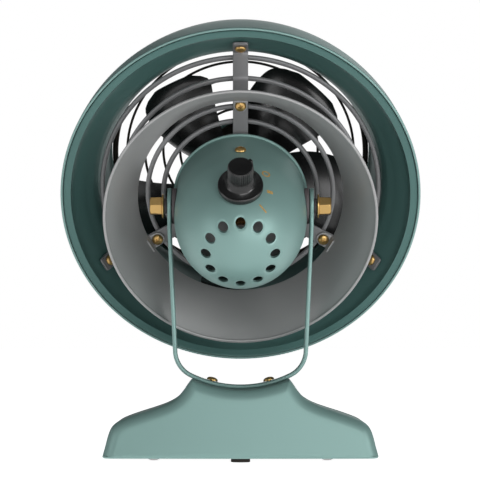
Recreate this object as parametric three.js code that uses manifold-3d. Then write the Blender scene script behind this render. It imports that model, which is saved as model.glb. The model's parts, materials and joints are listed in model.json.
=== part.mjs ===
// Desk air circulator: a round double-walled duct on a U yoke and a low base.
// Millimetres, +Z up. The fan blows towards -Y, so its rear faces +Y.
// Pieces of the head are drawn in a frame of their own: its origin is the tilt pivot,
// its Y runs rearwards along the fan's axis and its Z is the head's own "up".

import * as THREE from 'three';
import { mergeVertices } from 'three/addons/utils/BufferGeometryUtils.js';
import Module from 'manifold-3d';

const wasm = await Module();
wasm.setup();

const TAU = Math.PI * 2;
const DEG = Math.PI / 180;
const roundSides = 32;         // facets round the duct and the cone

// ---- driving sizes ------------------------------------------------------------------

const fitGap = 0.3;            // air left between two pieces that touch
const restTilt = 25.5;         // degrees that the fan's axis points above level

// duct: outer shell and inner bell
const ductRadius = 109.5;      // widest radius, at the rear rim
const rimBack = -13.5;         // rear rim, along the axis from the pivot
const ductDepth = 77;          // from the rear rim to the nose
const noseTaper = 23.5;        // how much narrower the shell is where its nose begins
const noseDepth = 7;           // length of the rounded nose
const throatRadius = 81.5;     // air opening at the front
const throatLength = 38;       // nearly straight stretch of the bell behind the nose
const bellSetback = 6.5;       // from the nose's front to the bell's front edge
const lipReach = 1;            // how much further in than the throat the nose's lip ends
const ductWall = 1.8;
const bellWall = 1.5;
const rimBead = 2.2;           // radius of the rolled bead round the rear rim

// inner cone
const coneRimRadius = 82.4;
const coneRimBack = 19.6;
const coneNeckRadius = 62.4;
const coneLength = 34;
const coneWall = 1.2;
const coneBead = 1.0;
const coneTabLength = 8.6;

// guard: struts and rings
const strutWidth = 9.2;
const strutThickness = 1.6;
const strutBack = -18.2;       // rear face of the struts' flat stretch
const strutBend = 75.5;        // radius where a strut bends forward towards the bell
const strutTab = 12;           // length of the end tab that lies on the bell
const tabGap = 0.9;            // under a flat tab, for the curve of the bell
const strutScrewRadius = 94.5;
const strutOverlap = 5;        // how far a strut reaches inside the stator's outline
const motorScrewInset = 3.6;   // from a strut's inner end to its motor screw
const coneScrewRadius = 58.6;
const ringWire = 1.5;          // radius of the guard rings' wire
const ringRadii = [46.9, 56.5, 74.2, 84.5];

// motor housing, a cylinder with a half-ellipsoid end
const housingRadius = 39.7;
const housingFront = -16;
const domeStart = 18;
const domeLength = 54;
const housingWall = 2;
const ventCount = 12;
const ventCircle = 20.4;
const ventRadius = 3;
const ventDrop = 2.9;          // the circle of vents sits below the axis
const housingScrewBack = 9;

// motor
const shaftRadius = 3;
const rotorLength = 20;
const statorClearance = 4.7;   // from the stator to the housing's wall
const statorDepth = 16;        // from its outside to its bore
const statorLength = 24;
const statorFront = -2;
const airGap = 0.6;
const bushClearance = 0.06;    // round the shaft in its bearings
const bracketWeb = 2;
const bracketDepth = 8;
const bearingRadius = 7;
const bearingLength = 6;
const coilSetback = 2;         // from the stator's bore to the coil
const coilInset = 5.5;         // from the stator's outside to the coil
const coilLength = 4.6;
const tieBoltRadius = 1.5;
const tieBoltInset = 3;        // from the stator's outside to the bolt's middle
const tieBoltCap = 1.6;

// propeller
const bladeCount = 5;
const bladeTip = 75.5;
const bladeMid = -45.5;        // middle of the blades along the axis
const hubRadius = 15;
const hubLength = 19;
const bladeThickness = 1.8;
const bladeRootChord = 20;
const bladeWidestChord = 56;
const bladeRootPitch = 42;
const bladeTipPitch = 20;
const bladeSweep = 14;
const hubSkin = 4;             // closed end of the hub, ahead of the shaft
const shaftTail = 3;
const firstBlade = 30;         // degrees from the head's right-hand side

// front grille
const grilleWire = 0.8;
const grilleRing = 1.8;        // radius of the rim's own wire
const grilleRings = [27.4, 38, 48.5, 60, 71];
const grilleSetback = 4;       // from the nose to the rim's front
const grilleDome = 7;          // how far the grille's middle stands ahead of its ring
const badgeRadius = 19;
const badgeThickness = 3;

// knob and switch
const knobPlace = 34.3;        // degrees round the dome's ellipse, from its widest part
const skirtRadius = 13.4;
const skirtHeight = 3.4;
const gripRadius = 8.2;
const knobHeight = 19;
const gripFlutes = 16;
const fluteDepth = 0.6;
const pointerWidth = 2.2;
const dishRadius = 24;
const skirtDrop = -0.7;        // lower edge of the skirt, against the dome's bulge
const spindleRadius = 3;
const switchSide = 13;
const switchSetback = 2.8;     // from the wall's inner face to the switch
const spindleInSwitch = 4;
const switchDepth = 9.5;
const offMark = 44;            // degrees, where the pointer stands at "off"

// pivots
const eyeRadius = 10.85;
const boltRadius = 2.9;
const boltHead = 5.4;
const boltHeadHeight = 2.6;
const boltHeadGap = 0.9;       // under the flat head, in the round wall
const armGap = 2;              // from the housing's side to the yoke arm
const pivotWasherRadius = 4.6;
const pivotWasherThickness = 1.7;
const nutFlangeRadius = 7.4;
const nutFlange = 1.2;
const nutAcrossFlats = 10;
const nutLength = 7.2;

// yoke
const yokeThickness = 2.4;
const yokeWidth = 18;
const yokeBottomRadius = 70;
const yokeCornerRadius = 18;
const armLean = 2.3;           // degrees that each arm leans outwards
const yokeScrewSpan = 17.8;

// base
const saddleHeight = 42.5;     // lowest point of the saddle above the floor
const ductClearance = 1;       // above the saddle, if the duct stood level over it
const baseHalfWidth = 81.5;
const baseBack = 50;
const baseFront = -56;
const neckHalfWidth = 29.3;
const neckHeight = 49.5;
const shoulderHeight = 24;
const baseCorner = 14;
const baseWall = 2.5;
const plateThickness = 2;
const plateClearance = 1.6;    // all round the plate, inside the drafted wall
const footRadius = 5.75;
const footHeight = 2.4;
const footInset = 10.5;

// screws
const screwHead = 3.4;
const screwHeadHeight = 2.2;
const screwShank = 1.6;
const screwLength = 7;

// ---- finishes -----------------------------------------------------------------------

const finishes = {
  paint: { color: 0x6f938e, roughness: 0.32, metalness: 0.0 },
  darkPaint: { color: 0x3f6560, roughness: 0.25, metalness: 0.0 },
  cone: { color: 0x8d8d8d, roughness: 0.35, metalness: 0.1 },
  guard: { color: 0x7d7d7e, roughness: 0.4, metalness: 0.2 },
  brass: { color: 0xb99a5f, roughness: 0.28, metalness: 1.0 },
  black: { color: 0x161616, roughness: 0.35, metalness: 0.0 },
  wire: { color: 0x2a2320, roughness: 0.4, metalness: 0.3 },
  spacer: { color: 0x4b4347, roughness: 0.5, metalness: 0.0 },
  rubber: { color: 0x241913, roughness: 0.85, metalness: 0.0 },
  steel: { color: 0x9c9c9c, roughness: 0.35, metalness: 1.0 },
  copper: { color: 0xa65f35, roughness: 0.4, metalness: 1.0 },
};

// ---- solids -------------------------------------------------------------------------

function signedVolume(points, corners) {
  const a = new THREE.Vector3();
  const b = new THREE.Vector3();
  const c = new THREE.Vector3();
  let sum = 0;
  for (let i = 0; i < corners.length; i += 3) {
    a.fromArray(points, 3 * corners[i]);
    b.fromArray(points, 3 * corners[i + 1]);
    c.fromArray(points, 3 * corners[i + 2]);
    sum += a.dot(b.cross(c));
  }
  return sum / 6;
}

// A closed three.js geometry as a solid that can be joined and cut.
function solid(geometry) {
  geometry.deleteAttribute('normal');
  geometry.deleteAttribute('uv');
  const merged = mergeVertices(geometry, 1e-4);
  const points = merged.attributes.position.array;
  const all = merged.index.array;
  const corners = [];
  for (let i = 0; i < all.length; i += 3) {
    const [a, b, c] = [all[i], all[i + 1], all[i + 2]];
    if (a !== b && b !== c && c !== a) corners.push(a, b, c);
  }
  if (signedVolume(points, corners) < 0) corners.reverse();
  return new wasm.Manifold(new wasm.Mesh({
    numProp: 3,
    vertProperties: new Float32Array(points),
    triVerts: new Uint32Array(corners),
  }));
}

function geometryOf(shape) {
  const mesh = shape.getMesh();
  const geometry = new THREE.BufferGeometry();
  geometry.setAttribute('position', new THREE.BufferAttribute(mesh.vertProperties, 3));
  geometry.setIndex(new THREE.BufferAttribute(mesh.triVerts, 1));
  geometry.computeVertexNormals();
  return geometry;
}

function addPiece(parent, name, shape, finish) {
  const material = new THREE.MeshStandardMaterial(finishes[finish]);
  const mesh = new THREE.Mesh(geometryOf(shape), material);
  mesh.name = name;
  parent.add(mesh);
  return mesh;
}

// Turned piece about Y from [radius, y] corners. A profile off the axis is closed up.
function turned(profile, segments = 40) {
  const corners = profile.map(([radius, y]) => new THREE.Vector2(radius, y));
  const open = profile[0][0] > 0 || profile.at(-1)[0] > 0;
  if (open) corners.push(corners[0].clone());
  return solid(new THREE.LatheGeometry(corners, segments));
}

// Moves a geometry drawn about Y so that its origin is at place and its Y points along axis.
function aim(geometry, place, axis) {
  const turn = new THREE.Quaternion();
  turn.setFromUnitVectors(new THREE.Vector3(0, 1, 0), axis.clone().normalize());
  geometry.applyQuaternion(turn);
  geometry.translate(place.x, place.y, place.z);
  return geometry;
}

function rod(radius, length, place, axis, segments = 24) {
  const geometry = new THREE.CylinderGeometry(radius, radius, length, segments);
  return solid(aim(geometry, place, axis));
}

// The two sides of a bent sheet, from the [radius, y] points of one side.
function sheet(points, thickness) {
  const side = points.map(([radius, y]) => new THREE.Vector2(radius, y));
  const offset = side.map((point, i) => {
    const before = side[Math.max(i - 1, 0)];
    const after = side[Math.min(i + 1, side.length - 1)];
    const along = after.clone().sub(before).normalize();
    return [point.x - along.y * thickness, point.y + along.x * thickness];
  });
  return [...points, ...offset.reverse()];
}

function smooth(points, steps) {
  const curve = new THREE.SplineCurve(points.map(([x, y]) => new THREE.Vector2(x, y)));
  return curve.getPoints(steps).map((point) => [point.x, point.y]);
}

// Closed skin over a row of loops that all have the same number of points.
function loft(loops) {
  const count = loops[0].length;
  const points = loops.flat();
  const faces = [];
  for (let ring = 0; ring < loops.length - 1; ring += 1) {
    for (let i = 0; i < count; i += 1) {
      const a = ring * count + i;
      const b = ring * count + ((i + 1) % count);
      faces.push(a, b, b + count, a, b + count, a + count);
    }
  }
  for (const [ring, flip] of [[0, true], [loops.length - 1, false]]) {
    const middle = points.length;
    const centre = new THREE.Vector3();
    loops[ring].forEach((point) => centre.add(point));
    points.push(centre.divideScalar(count));
    for (let i = 0; i < count; i += 1) {
      const a = ring * count + i;
      const b = ring * count + ((i + 1) % count);
      faces.push(...(flip ? [middle, b, a] : [middle, a, b]));
    }
  }
  const geometry = new THREE.BufferGeometry().setFromPoints(points);
  geometry.setIndex(faces);
  return solid(geometry);
}

// Domed screw about Y: the head stands above y = 0, the shank hangs below it.
function screw(headRadius = screwHead, headHeight = screwHeadHeight, length = screwLength) {
  const profile = [
    [0, -length],
    [screwShank, -length],
    [screwShank, 0],
    [headRadius, 0],
    [headRadius, 0.3 * headHeight],
    [0.7 * headRadius, 0.85 * headHeight],
    [0, headHeight],
  ];
  return new THREE.LatheGeometry(profile.map(([radius, y]) => new THREE.Vector2(radius, y)), 9);
}

function screwAt(place, axis, ...sizes) {
  return solid(aim(screw(...sizes), place, axis));
}

// A clearance hole for a screw's shank.
function screwHole(place, axis, depth = screwLength + 1) {
  const middle = place.clone().addScaledVector(axis, -depth / 2 + 1);
  return rod(screwShank + fitGap, depth + 2, middle, axis, 10);
}

const alongX = new THREE.Vector3(1, 0, 0);
const alongY = new THREE.Vector3(0, 1, 0);
const alongZ = new THREE.Vector3(0, 0, 1);
const origin = new THREE.Vector3();

// ---- places that several pieces share -----------------------------------------------

const pivotHeight = saddleHeight + ductClearance + ductRadius;
const noseFront = rimBack - ductDepth;
const noseStart = noseFront + noseDepth;
const throatBack = noseFront + throatLength;
const armInner = housingRadius + armGap;
const armOuter = armInner + yokeThickness;
const statorRadius = housingRadius - housingWall - statorClearance;
const statorBore = statorRadius - statorDepth;
const rotorRadius = statorBore - airGap;
const coilInner = statorBore + coilSetback;
const coilOuter = statorRadius - coilInset;
const tieBoltCircle = statorRadius - tieBoltInset;

// The bell's inner face, from the throat to the rear rim, where it ends inside the bead.
const bellFlare = ductRadius - 2 * rimBead - fitGap - bellWall - throatRadius;
const bellReach = rimBack - throatBack;
const bellFace = smooth([
  [throatRadius, noseFront + bellSetback],
  [throatRadius + 0.04 * bellFlare, throatBack],
  [throatRadius + 0.24 * bellFlare, throatBack + 0.44 * bellReach],
  [throatRadius + 0.6 * bellFlare, throatBack + 0.68 * bellReach],
  [throatRadius + 0.9 * bellFlare, throatBack + 0.86 * bellReach],
  [throatRadius + bellFlare, rimBack - 1],
], 6);

function bellAt(radius) {
  const next = bellFace.findIndex(([r]) => r > radius);
  const [r1, y1] = bellFace[next];
  const [r0, y0] = bellFace[next - 1];
  return { y: y0 + ((radius - r0) / (r1 - r0)) * (y1 - y0), slope: Math.atan2(y1 - y0, r1 - r0) };
}

function domePoint(angle) {
  const radius = housingRadius * Math.cos(angle);
  const y = domeStart + domeLength * Math.sin(angle);
  return new THREE.Vector3(0, y, radius);
}

function domeNormal(angle) {
  const y = Math.sin(angle) / domeLength;
  const radius = Math.cos(angle) / housingRadius;
  return new THREE.Vector3(0, y, radius).normalize();
}

const knobSeat = domePoint(knobPlace * DEG);
const knobAxis = domeNormal(knobPlace * DEG);

// ---- stand: base, plate, feet, yoke -------------------------------------------------

// Plan outline of the base at one height, as points of a rounded rectangle whose
// rear side bulges a little.
function baseLoop(halfWidth, back, front, height, corner) {
  const points = [];
  const centres = [
    [halfWidth - corner, back - corner, 0],
    [-halfWidth + corner, back - corner, 90],
    [-halfWidth + corner, front + corner, 180],
    [halfWidth - corner, front + corner, 270],
  ];
  const steps = 3;
  for (const [x, y, from] of centres) {
    for (let i = 0; i <= steps; i += 1) {
      const angle = (from + (90 * i) / steps) * DEG;
      points.push([x + corner * Math.cos(angle), y + corner * Math.sin(angle)]);
    }
    if (from === 0 || from === 180) {
      const side = from === 0 ? back : front;
      const bulge = from === 0 ? 3 : -1.5;
      for (const share of [0.5, 0, -0.5]) {
        const across = (from === 0 ? share : -share) * 2 * (halfWidth - corner);
        points.push([across * 0.9, side + bulge * (1 - share * share * 4)]);
      }
    }
  }
  return points.map(([x, y]) => new THREE.Vector3(x, y, height));
}

// The base's half width falls in an S from the foot's top edge to the neck.
function baseWidthAt(share) {
  const ease = 0.5 - 0.5 * Math.cos(Math.PI * share ** 0.8);
  return neckHalfWidth + 5 + (baseHalfWidth - 7 - neckHalfWidth - 5) * (1 - ease);
}

function baseBody(inset) {
  const levels = [];
  const corner = baseCorner - inset;
  const add = (halfWidth, draft, height) => {
    const back = baseBack - draft - inset;
    const front = baseFront + draft * 1.6 + inset;
    const round = Math.min(corner, halfWidth - inset - 2);
    levels.push(baseLoop(halfWidth - inset, back, front, height - inset, round));
  };
  const floor = footHeight + inset;
  add(baseHalfWidth, 0, inset > 0 ? floor - 1 : floor);
  add(baseHalfWidth - 3, 2, shoulderHeight - 6);
  add(baseHalfWidth - 5, 2.8, shoulderHeight - 2);
  const rise = neckHeight - 6 - shoulderHeight;
  for (let i = 0; i <= 4; i += 1) {
    const share = i / 4;
    add(baseWidthAt(share), 3.2 + 2.4 * share, shoulderHeight + rise * share);
  }
  add(neckHalfWidth + 2.2, 6.4, neckHeight - 2);
  add(neckHalfWidth, 8.5, neckHeight);
  return loft(levels);
}

const saddleCentre = new THREE.Vector3(0, 0, saddleHeight + yokeBottomRadius + fitGap);

function buildStand(stand) {
  const saddle = rod(yokeBottomRadius + fitGap, 400, saddleCentre, alongY, 60);
  const innerSaddle = rod(yokeBottomRadius + fitGap + baseWall, 400, saddleCentre, alongY, 36);
  const outside = baseBody(0).subtract(saddle);
  const inside = baseBody(baseWall).subtract(innerSaddle);
  let shell = outside.subtract(inside);

  // The yoke's screws stand square to the saddle, in bosses under it.
  const lean = Math.asin(yokeScrewSpan / yokeBottomRadius);
  const seatRadius = yokeBottomRadius - yokeThickness;
  const yokeSeats = [1, -1].map((side) => {
    const axis = new THREE.Vector3(-side * Math.sin(lean), 0, Math.cos(lean));
    const place = saddleCentre.clone().addScaledVector(axis, -seatRadius);
    return { side, axis, place };
  });
  const bossDepth = screwLength + 3;
  for (const { axis, place } of yokeSeats) {
    const middle = place.clone().addScaledVector(axis, -yokeThickness - bossDepth / 2 - 1);
    shell = shell.add(rod(screwShank + 3, bossDepth, middle, axis, 20));
  }

  // Three posts take the plate's screws.
  const plateTop = footHeight + fitGap + plateThickness;
  const posts = [
    new THREE.Vector3(0, baseFront + 22, 0),
    new THREE.Vector3(baseHalfWidth - 30, baseBack - 18, 0),
    new THREE.Vector3(-baseHalfWidth + 30, baseBack - 18, 0),
  ];
  for (const post of posts) {
    const bottom = plateTop + fitGap;
    const middle = new THREE.Vector3(post.x, post.y, (neckHeight + bottom) / 2);
    const column = rod(screwShank + 2.6, neckHeight - bottom, middle, alongZ, 20);
    shell = shell.add(column.intersect(outside));
  }
  shell = shell.subtract(saddle);
  for (const { axis, place } of yokeSeats) shell = shell.subtract(screwHole(place, axis));
  const postScrews = posts.map((post) => new THREE.Vector3(post.x, post.y, footHeight + fitGap));
  const down = alongZ.clone().negate();
  for (const place of postScrews) shell = shell.subtract(screwHole(place, down, screwLength + 2));
  addPiece(stand, 'base_shell', shell, 'paint');

  // The plate closes the shell from below, inside its wall.
  const plateInset = baseWall + plateClearance;
  const plateLoop = (height) => baseLoop(
    baseHalfWidth - plateInset, baseBack - plateInset, baseFront + plateInset,
    height, baseCorner - plateInset,
  );
  let plate = loft([plateLoop(footHeight + fitGap), plateLoop(plateTop)]);
  for (const place of postScrews) plate = plate.subtract(screwHole(place, down));
  addPiece(stand, 'base_plate', plate, 'black');

  postScrews.forEach((place, i) => {
    const seat = place.clone().addScaledVector(down, fitGap);
    addPiece(stand, `plate_screw_${i + 1}`, screwAt(seat, down, screwHead, 1.6), 'steel');
  });

  const foot = turned([
    [0, 0],
    [footRadius - 0.5, 0],
    [footRadius, 0.5],
    [footRadius, footHeight],
    [0, footHeight],
  ], 28);
  const footGeometry = geometryOf(foot);
  footGeometry.rotateX(Math.PI / 2);
  const feet = {
    foot_rear: [0, baseBack - footInset],
    foot_left: [baseHalfWidth - footInset, baseFront + footInset + 2],
    foot_right: [-baseHalfWidth + footInset, baseFront + footInset + 2],
  };
  for (const [name, [x, y]] of Object.entries(feet)) {
    const mesh = new THREE.Mesh(footGeometry.clone(), new THREE.MeshStandardMaterial(finishes.rubber));
    mesh.name = name;
    mesh.position.set(x, y, 0);
    stand.add(mesh);
  }

  buildYoke(stand, yokeSeats);
}

// One edge of the yoke's outline, from the middle of its bottom to the top of an arm.
function yokeEdge(inset, top) {
  const lean = armLean * DEG;
  const bottom = saddleCentre.z;
  const spread = yokeBottomRadius - yokeCornerRadius;
  const cornerX = armOuter - yokeCornerRadius - (pivotHeight - saddleHeight - 24) * Math.sin(lean);
  const swing = Math.asin(cornerX / spread);
  const corner = new THREE.Vector2(cornerX, bottom - spread * Math.cos(swing));
  const edge = [];
  for (let i = 0; i <= 4; i += 1) {
    const angle = (swing * i) / 4;
    const radius = yokeBottomRadius - inset;
    edge.push([radius * Math.sin(angle), bottom - radius * Math.cos(angle)]);
  }
  for (let i = 1; i <= 6; i += 1) {
    const angle = swing + ((Math.PI / 2 - lean - swing) * i) / 6;
    const radius = yokeCornerRadius - inset;
    edge.push([corner.x + radius * Math.sin(angle), corner.y - radius * Math.cos(angle)]);
  }
  edge.push([armOuter - inset, pivotHeight - eyeRadius - 2]);
  edge.push([armOuter - inset, top]);
  return edge;
}

function buildYoke(stand, yokeSeats) {
  const top = pivotHeight + eyeRadius;
  const outer = yokeEdge(0, top);
  const inner = yokeEdge(yokeThickness, top).reverse();
  const rightHalf = [...outer, ...inner];
  const leftHalf = rightHalf.slice(1, -1).reverse().map(([x, z]) => [-x, z]);
  const outline = [...rightHalf, ...leftHalf].map(([x, z]) => new THREE.Vector2(x, z));
  const shape = new THREE.Shape(outline);
  const strip = new THREE.ExtrudeGeometry(shape, { depth: 2 * eyeRadius, bevelEnabled: false });
  strip.rotateX(Math.PI / 2);
  strip.translate(0, eyeRadius, 0);
  let yoke = solid(strip);

  // Seen from the side, the strip is straight and ends in a round eye on each arm.
  const side = new THREE.Shape();
  const neck = Math.asin(yokeWidth / 2 / eyeRadius);
  side.moveTo(-yokeWidth / 2, 0);
  side.lineTo(yokeWidth / 2, 0);
  side.lineTo(yokeWidth / 2, pivotHeight - eyeRadius * Math.cos(neck));
  side.absarc(0, pivotHeight, eyeRadius, -Math.PI / 2 + neck, 1.5 * Math.PI - neck, false);
  side.lineTo(-yokeWidth / 2, 0);
  const depth = 4 * armOuter;
  const blank = new THREE.ExtrudeGeometry(side, { depth, bevelEnabled: false, curveSegments: 16 });
  blank.rotateX(Math.PI / 2);
  blank.rotateZ(Math.PI / 2);
  blank.translate(-depth / 2, 0, 0);
  yoke = yoke.intersect(solid(blank));

  const pivot = new THREE.Vector3(0, 0, pivotHeight);
  yoke = yoke.subtract(rod(boltRadius + fitGap, 4 * armOuter, pivot, alongX));
  for (const { axis, place } of yokeSeats) yoke = yoke.subtract(screwHole(place, axis));
  addPiece(stand, 'yoke', yoke, 'paint');
  for (const { side: hand, axis, place } of yokeSeats) {
    const seat = place.clone().addScaledVector(axis, fitGap);
    addPiece(stand, `yoke_screw_${hand > 0 ? 'left' : 'right'}`, screwAt(seat, axis), 'brass');
  }
}

// ---- head: duct and guard -----------------------------------------------------------

// The struts stand at the top and at both lower sides.
const threeSides = { top: 0, left: 120, right: -120 };

function aroundAxis(shape, degrees) {
  return shape.rotate([0, degrees, 0]);
}

// Adds one piece at each of the three sides, as it is drawn at the top.
function addAround(head, name, shape, finish) {
  for (const [side, angle] of Object.entries(threeSides)) {
    addPiece(head, `${name}_${side}`, shape, finish).rotation.y = angle * DEG;
  }
}

function cutAround(shape, cutter) {
  const cuts = Object.values(threeSides).map((angle) => aroundAxis(cutter, angle));
  return cuts.reduce((left, cut) => left.subtract(cut), shape);
}

const tabBell = bellAt(strutScrewRadius);
const tabAxis = new THREE.Vector3(0, Math.cos(tabBell.slope), -Math.sin(tabBell.slope));
const tabLift = tabGap + strutThickness;
const bellPoint = new THREE.Vector3(0, tabBell.y, strutScrewRadius);
const strutScrewSeat = bellPoint.clone().addScaledVector(tabAxis, tabLift);
const coneTabBack = strutBack + fitGap + coneWall;
const coneScrewSeat = new THREE.Vector3(0, coneTabBack, coneScrewRadius);

function buildDuct(head) {
  // How far along the shell, and what share of the taper is done there.
  const stations = [[0.015, 0.013], [0.13, 0.052], [0.27, 0.134], [0.44, 0.296], [0.69, 0.6], [0.83, 0.84]];
  const skin = smooth([
    ...stations.map(([along, share]) => [
      ductRadius - share * noseTaper, rimBack - along * ductDepth,
    ]),
    [ductRadius - noseTaper, noseStart],
  ], 7);
  const noseRadius = ductRadius - noseTaper;
  const lip = throatRadius - lipReach;
  const noseInner = lip + 2;
  const nose = [];
  for (let i = 1; i <= 3; i += 1) {
    const angle = (i / 3) * 90 * DEG;
    const radius = noseInner + (noseRadius - noseInner) * Math.cos(angle);
    nose.push([radius, noseStart - noseDepth * Math.sin(angle)]);
  }
  nose.push([lip, noseFront + 2]);
  const wall = turned(sheet([...skin, ...nose], -ductWall), roundSides);

  // A rolled bead stiffens the rear rim.
  const bead = [];
  for (let i = 0; i < 6; i += 1) {
    const angle = (i / 6) * TAU;
    bead.push([
      ductRadius - rimBead + rimBead * Math.cos(angle),
      rimBack - rimBead + rimBead * Math.sin(angle),
    ]);
  }
  addPiece(head, 'duct_shell', wall.add(turned(bead, roundSides)), 'paint');

  const bell = turned(sheet(bellFace, -bellWall), roundSides);
  const hole = screwHole(strutScrewSeat, tabAxis);
  addPiece(head, 'duct_bell', cutAround(bell, hole), 'darkPaint');
}

function buildGuard(head) {
  // Rear face of a strut, as [radius, y]: flat, then forward to the bell, then along it.
  const tabDirection = new THREE.Vector3(0, Math.sin(tabBell.slope), Math.cos(tabBell.slope));
  const tabAt = (along) => {
    const point = strutScrewSeat.clone().addScaledVector(tabDirection, along);
    return [point.z, point.y];
  };
  const path = [
    [strutFoot, strutBack],
    [strutBend, strutBack],
    tabAt(-strutTab / 2),
    tabAt(strutTab / 2),
  ];
  const outline = new THREE.Shape();
  outline.setFromPoints(sheet(path, -strutThickness).map(([z, y]) => new THREE.Vector2(z, y)));
  const bar = new THREE.ExtrudeGeometry(outline, { depth: strutWidth, bevelEnabled: false });
  bar.translate(0, 0, -strutWidth / 2);
  bar.rotateY(-Math.PI / 2);
  const strut = solid(bar)
    .subtract(screwHole(strutScrewSeat, tabAxis))
    .subtract(screwHole(coneScrewSeat, alongY))
    .subtract(screwHole(motorScrewSeat, alongY));
  addAround(head, 'guard_strut', strut, 'guard');
  addAround(head, 'strut_screw', screwAt(lifted(strutScrewSeat, tabAxis), tabAxis), 'brass');
  addAround(head, 'motor_screw', screwAt(lifted(motorScrewSeat, alongY), alongY), 'steel');

  // The rings are wires that lie against the front of the struts.
  ringRadii.forEach((radius, i) => {
    const section = [];
    const y = strutFrontAt(radius) - fitGap - ringWire;
    for (let k = 0; k < 5; k += 1) {
      const angle = (k / 5) * TAU;
      section.push([radius + ringWire * Math.cos(angle), y + ringWire * Math.sin(angle)]);
    }
    addPiece(head, `guard_ring_${i + 1}`, turned(section, 28), 'guard');
  });
}

function lifted(place, axis) {
  return place.clone().addScaledVector(axis, fitGap);
}

const strutFoot = statorRadius - strutOverlap;
const motorScrewSeat = new THREE.Vector3(0, strutBack, strutFoot + motorScrewInset);

function strutFrontAt(radius) {
  const tabLow = strutScrewSeat.clone();
  tabLow.z -= (strutTab / 2) * Math.cos(tabBell.slope);
  tabLow.y -= (strutTab / 2) * Math.sin(tabBell.slope);
  const share = (radius + ringWire - strutBend) / (tabLow.z - strutBend);
  const drop = Math.min(Math.max(share, 0), 1) * (strutBack - tabLow.y);
  return strutBack - strutThickness * (share > 0 ? 1.25 : 1) - drop;
}

function buildCone(head) {
  const rim = coneRimRadius - coneBead;
  const slope = rim - coneNeckRadius;
  const coneFront = coneRimBack - coneLength;
  const inside = smooth([
    [coneNeckRadius, coneFront],
    [coneNeckRadius + 0.3 * slope, coneFront + 0.36 * coneLength],
    [coneNeckRadius + 0.64 * slope, coneFront + 0.7 * coneLength],
    [rim, coneRimBack - coneBead],
  ], 3);
  let cone = turned(sheet(inside, -coneWall), roundSides);
  const bead = [];
  for (let i = 0; i < 5; i += 1) {
    const angle = (i / 5) * TAU;
    bead.push([
      rim + coneBead * Math.cos(angle),
      coneRimBack - coneBead + coneBead * Math.sin(angle),
    ]);
  }
  cone = cone.add(turned(bead, roundSides));

  // Three tabs turn inwards from the neck and carry the screws.
  const tabOut = coneNeckRadius + coneWall / 2;
  const tabIn = coneScrewRadius - coneTabLength / 2;
  const tab = new THREE.BoxGeometry(coneTabLength, coneWall, tabOut - tabIn);
  tab.translate(0, coneTabBack - coneWall / 2, (tabOut + tabIn) / 2);
  const neck = new THREE.BoxGeometry(coneTabLength, coneFront - coneTabBack + 2 * coneWall, coneWall);
  neck.translate(0, (coneFront + coneTabBack) / 2, coneNeckRadius + coneWall / 2);
  const hole = screwHole(coneScrewSeat, alongY);
  const bracket = solid(tab).add(solid(neck)).subtract(hole);
  for (const angle of Object.values(threeSides)) cone = cone.add(aroundAxis(bracket, angle));
  addPiece(head, 'inner_cone', cone, 'cone');
  const grip = coneTabBack + fitGap - (strutBack - strutThickness);
  const tabScrew = screwAt(lifted(coneScrewSeat, alongY), alongY, screwHead, screwHeadHeight, grip);
  addAround(head, 'cone_screw', tabScrew, 'brass');
}

function buildGrille(head) {
  const ringRadius = throatRadius - lipReach - fitGap - grilleRing;
  const ringY = noseFront + grilleSetback + grilleRing;
  const badgeY = ringY - grilleDome;
  const section = [];
  for (let k = 0; k < 5; k += 1) {
    const angle = (k / 5) * TAU;
    section.push([ringRadius + grilleRing * Math.cos(angle), ringY + grilleRing * Math.sin(angle)]);
  }
  let grille = turned(section, 32);
  const hub = badgeRadius - 1.5;
  const disc = rod(hub, 2, new THREE.Vector3(0, badgeY, 0), alongY, 26);

  // The wires stand on a shallow dome: rings, and a spoke at each of the three sides.
  const domeAt = (radius) => badgeY + grilleDome * (radius / ringRadius) ** 2;
  grille = grille.add(disc);
  for (const radius of grilleRings) {
    const round = [];
    for (let k = 0; k < 5; k += 1) {
      const angle = (k / 5) * TAU;
      round.push([
        radius + grilleWire * Math.cos(angle),
        domeAt(radius) + grilleWire * Math.sin(angle),
      ]);
    }
    grille = grille.add(turned(round, 30));
  }
  const route = [];
  for (let i = 0; i <= 4; i += 1) {
    const radius = hub - 1 + ((ringRadius - hub + 1) * i) / 4;
    route.push(new THREE.Vector3(0, domeAt(radius), radius));
  }
  const wire = new THREE.Shape();
  wire.absarc(0, 0, grilleWire, 0, TAU);
  const spoke = solid(new THREE.ExtrudeGeometry(wire, {
    steps: 4,
    curveSegments: 3,
    bevelEnabled: false,
    extrudePath: new THREE.CatmullRomCurve3(route),
  }));
  for (const angle of Object.values(threeSides)) grille = grille.add(aroundAxis(spoke, angle));
  addPiece(head, 'front_grille', grille, 'wire');

  const badgeBack = badgeY - 1 - fitGap;
  const badge = turned([
    [0, badgeBack],
    [badgeRadius, badgeBack],
    [badgeRadius, badgeBack - 1],
    [badgeRadius - 1.5, badgeBack - 0.8 * badgeThickness],
    [0, badgeBack - badgeThickness],
  ], 28);
  addPiece(head, 'grille_badge', badge, 'paint');
}

// ---- head: motor and its housing ----------------------------------------------------

const housingScrewSeat = new THREE.Vector3(0, housingScrewBack, housingRadius);

function housingSide(radius, front, length, steps) {
  const side = [[radius, front]];
  for (let i = 0; i <= steps; i += 1) {
    const angle = (i / steps) * 90 * DEG;
    side.push([radius * Math.cos(angle), domeStart + length * Math.sin(angle)]);
  }
  side[side.length - 1][0] = 0;
  return side;
}

function pivotHole(radius) {
  return rod(radius + fitGap, 4 * housingRadius, origin, alongX);
}

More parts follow.
